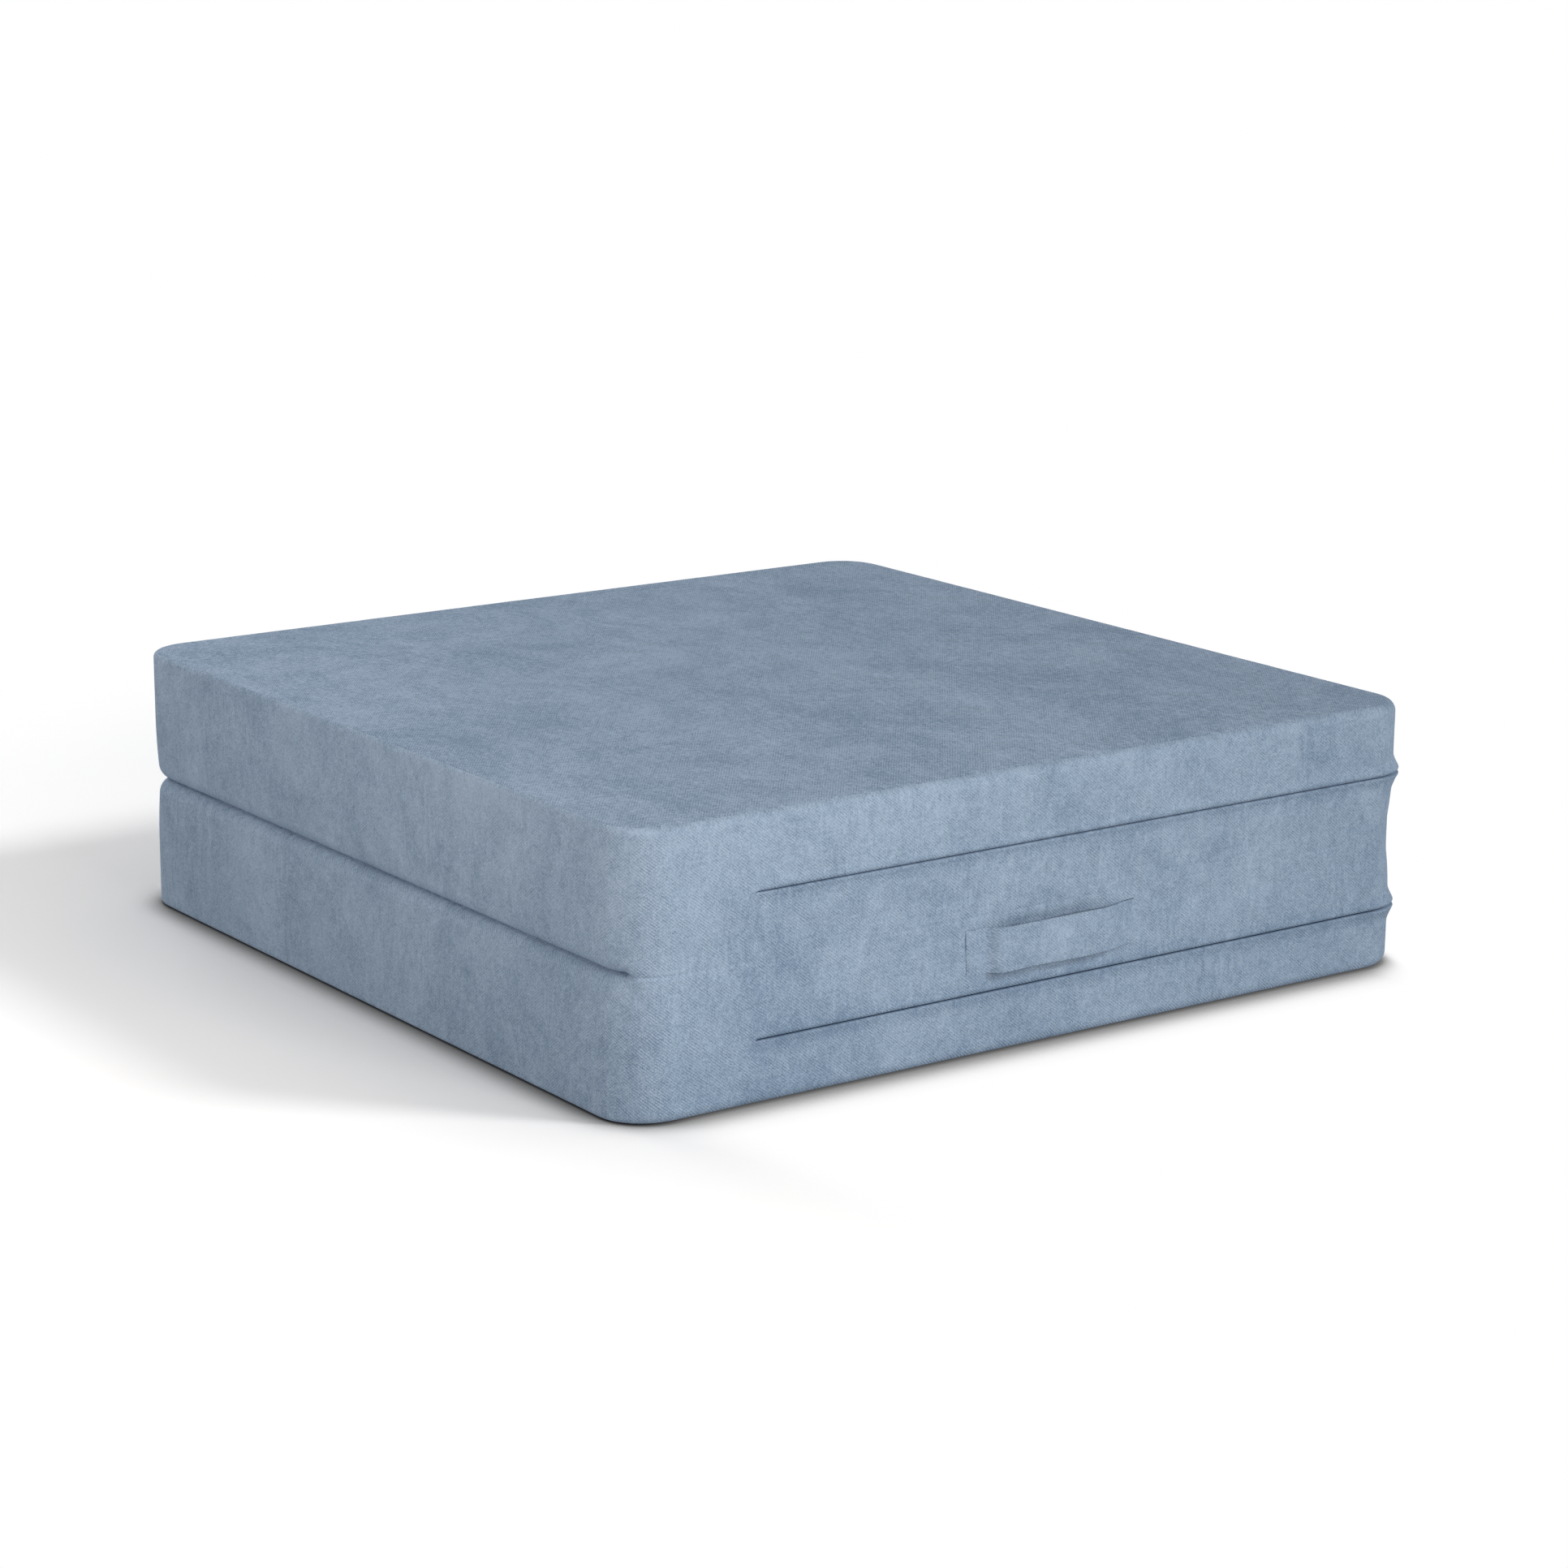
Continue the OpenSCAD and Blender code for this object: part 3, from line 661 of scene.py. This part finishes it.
def make_fold_half(name, upper):
    """Half of the cloth across the fold: it lies on the slab's front and spans to the middle of the web."""
    s = np.linspace(FRONT_S - math.radians(58) * CORNER_R, CORNER_S + math.radians(33) * CORNER_R, 230)
    frames = place(s)
    flush = ease((s - s[0]) / 0.012)
    cloth = 0.0003 * ease(np.minimum(s - s[0], s[-1] - s) / 0.01)
    dents = np.array([20.5, 18.5, 16.5, 14.5, 12.5, 10.5, 9, 7.5, 6, 4.5, 3, 2, 1.2, 0.6, 0]) * 1e-3
    broken = 0.6 + 0.4 * wave(s, 0.03, 77)
    crease = 0.0003 + broken * 0.0022 * np.exp(-(s - s[0]) / 0.05)
    outer_rows, inner_rows = [], []
    for d in dents:
        z = FOLD_Z - d
        side = side_inset(z, corner_draw(s)) + (0 if upper else strap_dent(s, z))
        rise = min(max(z - (SLAB_T - FOLD_TALL), 0) / FOLD_TALL, 1)
        over = FOLD_DEEP * (1 - math.sqrt(1 - rise ** 2))
        taper = float(ease((dents[0] - d) / 0.006))
        face = side + over * (1 - flush) - cloth * taper + crease * math.exp(-(d / 0.002) ** 2)
        back = np.maximum(np.minimum(side + over - 0.00002, face + 0.0012), face + 0.00003)
        level = np.full(len(s), z)
        outer_rows.append(np.column_stack([on_outline(frames, face), level]))
        inner_rows.append(np.column_stack([on_outline(frames, back), level]))
    points = np.concatenate(outer_rows + inner_rows[::-1])
    if upper:
        points[:, 2] = STACK - points[:, 2]
    faces = tube_faces(2 * len(dents), len(s))
    if upper:
        faces = [f[::-1] for f in faces]
    uvs = [[(s[i % len(s)], points[i][2]) for i in f] for f in faces]
    return to_object(name, points, faces, uvs, sharp=50)


def make_strap(bulge):
    """Carry strap: flat sewn ends, a middle that stands off, and soft folded edges."""
    half, wide = STRAP_HALF_LENGTH, STRAP_HALF_WIDTH
    ends = [-half + 0.0008, half - 0.0008]
    xs = np.unique(np.concatenate([np.linspace(-half, half, 107), ends]).round(6))
    free = np.minimum((xs + half - 0.024) / 0.015, (half - 0.003 - xs) / 0.045)
    bow = STRAP_GAP * ease(free)
    thick = 0.0013 + 0.0010 * ease(free + 0.2)
    ragged = 0.5 + 0.5 * wave(xs + 1, 0.006, 91, 2)
    worn = ease((-0.055 - xs) / 0.02) * ragged
    section = [(k / 8 * wide, 1.0 - 0.15 * max(0, abs(k / 8) - 0.86) / 0.14) for k in range(-8, 9)]

    # The front face upwards, then the back, which has no thickness of its own, downwards
    loop = []
    for v, full in section + [(v, 0.0) for v, _ in section[::-1]]:
        z = STRAP_Z + v + 0.0005 * np.sin(xs * 60) * (v / wide)
        seat = side_inset(STRAP_Z + v)
        stitched = float(ease((v / wide - 0.1) / 0.1))
        left = 0.1 + 0.9 * ease((xs + half) / 0.003) * (1 - stitched) + 0.75 * stitched
        thin = np.minimum(np.minimum(left, 1), 0.3 + 0.7 * ease((half - xs) / 0.003))
        on_front_face = np.column_stack([xs + STRAP_X, np.full(len(xs), -HALF), np.full(len(xs), STRAP_Z + v)])
        swell = bulge.at(on_front_face, 0.0008)
        depth = seat - swell - 0.0002 - bow
        worn_edge = 1 - 0.9 * worn * float(ease((abs(v) / wide - 0.8) / 0.2))
        y = -HALF + depth - thick * thin * worn_edge * full
        loop.append(np.column_stack([xs + STRAP_X, y, z]))
    points = np.concatenate(loop)
    faces = tube_faces(len(loop), len(xs))
    uvs = [[(STRAP_U + points[i][0], points[i][2]) for i in f] for f in faces]
    return to_object("carry_strap", points, faces, uvs)


def add_node(tree, kind, inputs=None, **settings):
    node = tree.nodes.new(kind)
    for key, value in settings.items():
        setattr(node, key, value)
    for key, value in (inputs or {}).items():
        socket = node.inputs[key]
        if isinstance(value, bpy.types.NodeSocket):
            tree.links.new(value, socket)
        else:
            socket.default_value = value
    return node


def calc(tree, operation, *values):
    return add_node(tree, "ShaderNodeMath", dict(enumerate(values)), operation=operation).outputs[0]


def calc_vector(tree, operation, *values):
    """Result of a vector operation: a number for a length or a dot product."""
    node = add_node(tree, "ShaderNodeVectorMath", dict(enumerate(values)), operation=operation)
    return node.outputs["Value" if operation in ("LENGTH", "DOT_PRODUCT") else "Vector"]


def remap(tree, value, low, high, to_low=0.0, to_high=1.0, smooth=False):
    """Value taken from the range low to high to another one, and held inside it."""
    return add_node(tree, "ShaderNodeMapRange", {
        "Value": value, "From Min": low, "From Max": high, "To Min": to_low, "To Max": to_high,
    }, interpolation_type="SMOOTHSTEP" if smooth else "LINEAR").outputs[0]


def noise(tree, where, stretch, scale, detail=3.0, roughness=0.6, distortion=0.0):
    """Noise from about 0 to 1 over cloth coordinates in metres, stretched along u and v."""
    return add_node(tree, "ShaderNodeTexNoise", {
        "Vector": calc_vector(tree, "MULTIPLY", where, (*stretch, 1.0)),
        "Scale": scale, "Detail": detail, "Roughness": roughness, "Distortion": distortion,
    }, noise_dimensions="2D").outputs["Fac"]


def mix_colours(tree, factor, low, high):
    return add_node(tree, "ShaderNodeMix", {"Factor": factor, 6: (*low, 1), 7: (*high, 1)},
                    data_type="RGBA").outputs[2]


def new_material(name):
    material = bpy.data.materials.new(name)
    material.use_nodes = True
    tree = material.node_tree
    return material, tree, tree.nodes["Principled BSDF"]


def twill_lines(tree, uv, quarter):
    """Two crossing sets of twill lines, clear in some places and brushed away in others."""
    wobble = add_node(tree, "ShaderNodeTexNoise", {"Vector": uv, "Scale": 60.0, "Detail": 3.0},
                      noise_dimensions="2D").outputs["Color"]
    shift = calc_vector(tree, "SUBTRACT", wobble, (0.5, 0.5, 0.5))
    moved = calc_vector(tree, "MULTIPLY_ADD", shift, (0.002,) * 3, uv)
    lines = []
    for (ku, kv), weight, scale in zip(TWILL, (1.0, 0.7), (64.0, 51.0)):
        k = [2 * math.pi * c for c in ((-kv, ku, 0) if quarter else (ku, kv, 0))]
        across = calc_vector(tree, "DOT_PRODUCT", moved, k)
        shown = remap(tree, noise(tree, uv, (1, 1), scale, 2.0, 0.7), 0.38, 0.62, 0.2 * weight, weight)
        lines.append(calc(tree, "MULTIPLY", calc(tree, "SINE", across), shown))
    return calc(tree, "ADD", *lines)


def painted_cover_light_and_shade(tree, uv, corner):
    """Painted light and shade on a cover: painted light that makes the upper slab paler near the front-left
    corner, painted shade lower down, and a soft painted shade band along each zip.
    """
    u, v = add_node(tree, "ShaderNodeSeparateXYZ", {0: uv}).outputs[:2]
    # Painted light and shade by height near the front-left corner: paler above, darker below.
    away = calc(tree, "ABSOLUTE", calc(tree, "SUBTRACT", u, float(FRONT_S)))
    level = calc(tree, "SUBTRACT", v, 0.42 * STACK)
    tone = calc(tree, "MULTIPLY", remap(tree, away, 0.1, 0.85, 1.0, 0.0, smooth=True),
                calc(tree, "MULTIPLY", level, corner / STACK))
    along = calc(tree, "MINIMUM", calc(tree, "SUBTRACT", u, float(ZIP_S0)),
                 calc(tree, "SUBTRACT", float(ZIP_S1), u))
    zipped = remap(tree, along, -0.01, 0.03)
    # Painted shade: a soft darker band along each zip line.
    for line_z, core, reach, depth in ZIP_PAINTED_SHADES:
        off = calc(tree, "ABSOLUTE", calc(tree, "SUBTRACT", v, line_z))
        shade = remap(tree, off, core, reach, -depth, 0.0, smooth=True)
        tone = calc(tree, "MULTIPLY_ADD", zipped, shade, tone)
    return tone


def painted_hem_shade(tree, uv, tint, shaded_hem_z):
    """The tint with a painted shade line along the strap's folded top edge, fainter over its sewn end."""
    u, v = add_node(tree, "ShaderNodeSeparateXYZ", {0: uv}).outputs[:2]
    line = remap(tree, v, shaded_hem_z - 0.0010, shaded_hem_z - 0.0003, 0.0, 0.6)
    sewn = remap(tree, u, STRAP_U - 0.064, STRAP_U - 0.05, 0.35, 1.0)
    kept = calc(tree, "SUBTRACT", 1.0, calc(tree, "MULTIPLY", line, sewn))
    return add_node(tree, "ShaderNodeVectorMath", {0: tint, "Scale": kept}, operation="SCALE").outputs[0]


def cloth_material(name, colour, quarter=False, slubs=0.42, fine=0.95, coarse=1.0, weave=0.17, corner=0.0,
                   shaded_hem_z=None):
    """Brushed twill with a heathered tone, over cloth coordinates. quarter lays it a quarter turn round. corner
    sets the strength of painted light and shade on a cover, and the last argument gives the height of a painted
    shade line on the strap.
    """
    material, tree, shader = new_material(name)
    uv = add_node(tree, "ShaderNodeUVMap", uv_map="cloth").outputs[0]
    twill = twill_lines(tree, uv, quarter)

    # Fibres, flecks, slubs in patches, and the heathered tone
    pitch = 0.62 if quarter else 1.0
    fibre = noise(tree, uv, (1, 1), 820.0 * pitch, 0.0)
    grain = noise(tree, uv, (1, 1), 340.0 * pitch, 1.0, 0.8)
    fleck = noise(tree, uv, (1, 1), 110.0, 1.0, 0.8, 0.4)
    heather = noise(tree, uv, (1, 0.8), 7.0, 3.6, 0.95, 0.3)
    slub = calc(tree, "SUBTRACT", noise(tree, uv, (1.0, 0.14), 230.0, 0.6, 0.6), 0.5)
    patch = remap(tree, noise(tree, uv, (1, 0.7), 13.0, 2.0, 0.6), 0.42, 0.66)
    slub = calc(tree, "MULTIPLY", slub, patch)
    terms = ((fibre, 0.6 * fine), (grain, 0.9 * fine), (fleck, 0.5 * coarse), (heather, 1.05 * coarse))
    total = 0.5 - sum(weight for _, weight in terms) / 2
    for value, weight in terms + ((twill, weave), (slub, slubs)):
        total = calc(tree, "MULTIPLY_ADD", value, weight, total)
    # Painted light and shade on the cover: the upper slab paler near the front-left corner, darker lower down, and
    # painted shade bands along the zips.
    if corner:
        total = calc(tree, "ADD", total, painted_cover_light_and_shade(tree, uv, corner))
    low = [c * f for c, f in zip(colour, (0.60, 0.66, 0.71))]
    high = [min(c * f, 1) for c, f in zip(colour, (1.40, 1.34, 1.29))]
    tint = mix_colours(tree, total, low, high)
    # Painted shade line along the strap's folded top edge.
    if shaded_hem_z:
        tint = painted_hem_shade(tree, uv, tint, shaded_hem_z)
    tree.links.new(tint, shader.inputs["Base Color"])
    relief = calc(tree, "MULTIPLY_ADD", grain, 0.9, calc(tree, "MULTIPLY", fibre, 0.6))
    relief = calc(tree, "MULTIPLY_ADD", twill, 0.5, relief)
    bump = add_node(tree, "ShaderNodeBump", {"Height": relief, "Strength": 0.6, "Distance": 0.0006})
    tree.links.new(bump.outputs[0], shader.inputs["Normal"])
    shader.inputs["Roughness"].default_value = 0.9
    shader.inputs["Specular IOR Level"].default_value = 0.2
    shader.inputs["Sheen Weight"].default_value = 0.1
    shader.inputs["Sheen Roughness"].default_value = 0.5
    shader.inputs["Sheen Tint"].default_value = (0.55, 0.75, 1.0, 1)
    return material


def plain_material(name, colour, rough, metal=0.0, grain_scale=900.0, grain_amount=0.15, bump=0.1, spread=0.0002):
    """Solid material with a fine grain in colour, roughness and relief."""
    material, tree, shader = new_material(name)
    where = add_node(tree, "ShaderNodeTexCoord").outputs["Object"]
    grain = add_node(tree, "ShaderNodeTexNoise", {"Vector": where, "Scale": grain_scale, "Detail": 3.0})
    grain = grain.outputs["Fac"]
    low = [c * (1 - grain_amount) for c in colour]
    high = [min(c * (1 + grain_amount), 1) for c in colour]
    tree.links.new(mix_colours(tree, grain, low, high), shader.inputs["Base Color"])
    tree.links.new(remap(tree, grain, 0.0, 1.0, rough - 0.06, rough + 0.06), shader.inputs["Roughness"])
    lift = add_node(tree, "ShaderNodeBump", {"Height": grain, "Strength": bump, "Distance": spread})
    tree.links.new(lift.outputs[0], shader.inputs["Normal"])
    shader.inputs["Metallic"].default_value = metal
    return material


# The cover's cloth carries painted light near the front-left corner and painted shade along the zips.
cover_mat = cloth_material("cover_twill", CLOTH_BLUE, coarse=0.95, corner=0.3)
top_mat = cloth_material("panel_twill", CLOTH_BLUE, quarter=True, slubs=0.4, fine=1.2, coarse=1.25, weave=0.3)
# The strap's cloth carries a painted shade line along its top edge.
strap_mat = cloth_material("strap_twill", CLOTH_BLUE, slubs=0.3, shaded_hem_z=STRAP_Z + STRAP_HALF_WIDTH)
foam_mat = plain_material("foam", (0.82, 0.78, 0.66), 0.9, grain_scale=700.0, bump=0.6, spread=0.0008)
tape_mat = cloth_material("zip_tape_weave", (0.045, 0.085, 0.19), slubs=0.0, fine=0.8, coarse=0.8)
coil_mat = plain_material("zip_coil", (0.04, 0.075, 0.18), 0.45, grain_amount=0.25)
metal_mat = plain_material("zip_nickel", (0.58, 0.58, 0.57), 0.3, metal=1.0, grain_scale=1800.0, grain_amount=0.06)


def dress(o, material, body, slot, *nodes):
    """Gives a piece its material and the body it rides on, and hides the CAD nodes it stands for. slot is not
    used.
    """
    o.data.materials.clear()
    o.data.materials.append(material)
    if body:
        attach(o, body)
    if nodes:
        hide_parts(*nodes)
    return o


# The two slabs. Each panel's cloth comes from a place of its own in the pattern.
bulge = Bulge()
for level, turned in (("lower", False), ("upper", True)):
    body = level + "_slab"
    rise = CROWN if turned else 0.0
    zip_z = MIDDLE_Z + (ZIP_SHIFT if turned else -ZIP_SHIFT)
    outer = make_panel(level + "_cover_outer", True, turned, rise, 0.0012 if turned else 0.0, bulge,
                       (4.0, 0.0) if turned else (8.0, 0.0), 11 + turned, FINE if turned else COARSE)
    dress(outer, top_mat, body, "cover_cloth", level + "_outer_panel")
    inner = make_panel(level + "_cover_inner", False, turned, 0.0, 0.0, bulge,
                       (12.0, 0.0) if turned else (16.0, 0.0), 21 + turned, COARSE)
    dress(inner, top_mat, body, "cover_cloth", level + "_inner_panel")
    strip = make_border(level + "_cover_border", turned, zip_z, bulge, 0.0008, 31 + 10 * turned)
    dress(strip, cover_mat, body, "cover_cloth", level + "_border")
    for side, part in ((-1, "outer"), (1, "inner")):
        tape = make_tape(f"{level}_tape_{part}", side, turned, zip_z)
        dress(tape, tape_mat, body, "zip_tape", f"{level}_zip_tape_{part}")
        coil = make_coil(f"{level}_coil_{part}", side, turned, zip_z)
        dress(coil, coil_mat, body, "zip_chain", level + "_zip_chain")
    points, faces = closed_cushion(cushion(FOAM_CELLS, zip_z, back=0.0022, groove=0.0064))
    uvs = [[tuple(points[k][:2]) for k in f] for f in faces]
    foam = to_object(level + "_foam", points, faces, uvs, turned)
    dress(foam, foam_mat, body, "foam", level + "_foam_core")
    for part in ("start_stop", "end_stops", "slider", "pull"):
        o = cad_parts[f"{level}_zip_{part}"]
        o.data.materials.clear()
        o.data.materials.append(metal_mat)

# The cloth across the fold, as two halves with their transforms baked in.
lower_fold = dress(make_fold_half("fold_cloth_lower", False), cover_mat, None, "cover_cloth", "fold_web")
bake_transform(lower_fold)
upper_fold = dress(make_fold_half("fold_cloth_upper", True), cover_mat, None, "cover_cloth", "fold_web")
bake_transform(upper_fold)
dress(make_strap(bulge), strap_mat, "lower_slab", "strap_cloth", "carry_handle")


def make_floor():
    """White floor. It is lit and shaded by the lamps at the left and behind, and plain white elsewhere.

    A contact shadow from ambient occlusion lies all round. Light that bounces sees a grey floor.
    """
    mesh = bpy.data.meshes.new("floor")
    r, below = 12.0, -0.0004
    mesh.from_pydata([(-r, -r, below), (r, -r, below), (r, r, below), (-r, r, below)], [], [(0, 1, 2, 3)])
    o = bpy.data.objects.new("floor", mesh)
    bpy.context.scene.collection.objects.link(o)
    material, tree, shader = new_material("floor_white")
    seen = add_node(tree, "ShaderNodeLightPath").outputs["Is Camera Ray"]
    grey = add_node(tree, "ShaderNodeBsdfDiffuse", {"Color": (0.6, 0.6, 0.6, 1)})
    where = add_node(tree, "ShaderNodeTexCoord").outputs["Object"]
    x, y = add_node(tree, "ShaderNodeSeparateXYZ", {0: where}).outputs[:2]

    # Contact shadow: narrow at the right end, and a little narrower at the left end
    reach = calc(tree, "MINIMUM", remap(tree, x, 0.44, 0.5, 0.065, 0.02), remap(tree, x, -0.5, -0.42, 0.05, 0.065))
    near = add_node(tree, "ShaderNodeAmbientOcclusion", {"Distance": reach}, samples=16).outputs["AO"]
    wide = add_node(tree, "ShaderNodeAmbientOcclusion", {"Distance": 0.45}, samples=16).outputs["AO"]
    ramp = add_node(tree, "ShaderNodeValToRGB", {"Fac": near})
    stops = ((0.05, 0.075), (0.25, 0.145), (0.46, 0.222), (0.52, 0.285), (0.6, 0.44), (0.7, 0.668), (0.78, 0.83),
             (0.88, 0.95), (1.0, 1.0))
    for k, (at, level) in enumerate(stops):
        stop = ramp.color_ramp.elements[k] if k < 2 else ramp.color_ramp.elements.new(at)
        stop.position, stop.color = at, (level, level, level, 1)
    shade = ramp.outputs[0]
    # Painted shade: the lit part's colour is darkened by a wide ambient occlusion as well as by the contact
    # shadow.
    dim = calc(tree, "MULTIPLY", shade, calc(tree, "MULTIPLY", calc(tree, "POWER", wide, 0.5), 1.3))
    white = add_node(tree, "ShaderNodeBsdfDiffuse", {"Color": dim})
    open_floor = add_node(tree, "ShaderNodeEmission", {"Color": (1, 1, 1, 1), "Strength": shade})

    # The lit part lies beyond the left and the back side, and fades out with distance and to the right
    beside = calc(tree, "MAXIMUM", calc(tree, "MULTIPLY", x, -1.0), y)
    fade = remap(tree, calc_vector(tree, "LENGTH", where), 1.1, 1.6, 1.0, 0.0, smooth=True)
    fade = calc(tree, "MULTIPLY", fade, remap(tree, x, 0.3, 0.9, 1.0, 0.0, smooth=True))
    lit = calc(tree, "MULTIPLY", remap(tree, beside, 0.40, 0.5, smooth=True), fade)
    shown = add_node(tree, "ShaderNodeMixShader", {0: lit, 1: open_floor.outputs[0], 2: white.outputs[0]})
    mix = add_node(tree, "ShaderNodeMixShader", {0: seen, 1: grey.outputs[0], 2: shown.outputs[0]})
    tree.links.new(mix.outputs[0], tree.nodes["Material Output"].inputs["Surface"])
    tree.nodes.remove(shader)
    mesh.materials.append(material)


def make_world():
    """White surroundings to the camera and in reflections, with a dim light of their own."""
    world = bpy.data.worlds.new("studio")
    bpy.context.scene.world = world
    world.use_nodes = True
    tree = world.node_tree
    back = tree.nodes["Background"]
    path = add_node(tree, "ShaderNodeLightPath").outputs
    seen = calc(tree, "MAXIMUM", path["Is Glossy Ray"], path["Is Transmission Ray"])
    seen = calc(tree, "MAXIMUM", path["Is Camera Ray"], seen)
    level = calc(tree, "MULTIPLY_ADD", seen, 1.0 - WORLD_LEVEL, WORLD_LEVEL)
    tree.links.new(level, back.inputs["Strength"])
    back.inputs["Color"].default_value = (1, 1, 1, 1)


def area_light(name, place_at, target, size, power, colour):
    light = bpy.data.lights.new(name, "AREA")
    light.shape = "RECTANGLE"
    light.size, light.size_y = size
    light.energy = power
    light.color = colour
    o = bpy.data.objects.new(name, light)
    bpy.context.scene.collection.objects.link(o)
    o.location = place_at
    o.rotation_euler = (Vector(target) - Vector(place_at)).to_track_quat("-Z", "Y").to_euler()


def sun_light(azimuth, elevation, power, angle):
    """Sun from an azimuth that counts from the front to the right side. angle is its width. All in degrees."""
    az, el = math.radians(azimuth), math.radians(elevation)
    to = Vector((math.sin(az) * math.cos(el), -math.cos(az) * math.cos(el), math.sin(el)))
    light = bpy.data.lights.new("key", "SUN")
    light.energy = power
    light.angle = math.radians(angle)
    o = bpy.data.objects.new("key", light)
    bpy.context.scene.collection.objects.link(o)
    o.rotation_euler = to.to_track_quat("Z", "Y").to_euler()


def make_camera():
    """Camera fitted to the photo's outline. Distances are in heights of the folded futon."""
    focal_px, frame_px, sensor = 4791.12, 1932, 36
    pitch, yaw, roll = 0.242454, 0.621639, 0.006339
    right_by, up_by, away = 0.093176, 0.06875, 14.798179
    ahead = Vector((math.sin(yaw), math.cos(yaw), 0))
    right = Vector((math.cos(yaw), -math.sin(yaw), 0))
    top = Vector((0, 0, 1))
    look = ahead * math.cos(pitch) - top * math.sin(pitch)
    up = ahead * math.sin(pitch) + top * math.cos(pitch)
    at = (-look * away + right * right_by + up * up_by + top * 0.5) * STACK
    x_axis = right * math.cos(roll) + up * math.sin(roll)
    y_axis = up * math.cos(roll) - right * math.sin(roll)
    data = bpy.data.cameras.new("camera")
    data.sensor_fit = "HORIZONTAL"
    data.sensor_width = sensor
    data.lens = focal_px / frame_px * data.sensor_width
    o = bpy.data.objects.new("camera", data)
    bpy.context.scene.collection.objects.link(o)
    m = Matrix((x_axis, y_axis, -look)).transposed().to_4x4()
    m.translation = at
    o.matrix_world = m
    bpy.context.scene.camera = o


make_floor()
make_world()
sun_light(44, 34, 1.2, 12)
area_light("front", (-0.2, -2.6, 0.9), (-0.1, -0.4, 0.15), (1.0, 0.8), 22.5, (1.0, 0.985, 0.955))
area_light("left", (-2.4, -0.95, 0.88), (-0.4, 0.0, 0.15), (1.3, 0.8), 14, (1.0, 0.95, 0.905))
area_light("far_left", (-2.2, 0.6, 1.6), (-0.4, 0.0, 0.15), (1.2, 1.2), 13, (1.0, 0.95, 0.905))
area_light("back", (-0.4, 2.8, 2.1), (0.0, 0.1, 0.25), (2.0, 1.2), 29, (0.96, 0.99, 1.03))
make_camera()
bpy.context.scene.view_settings.view_transform = "Standard"
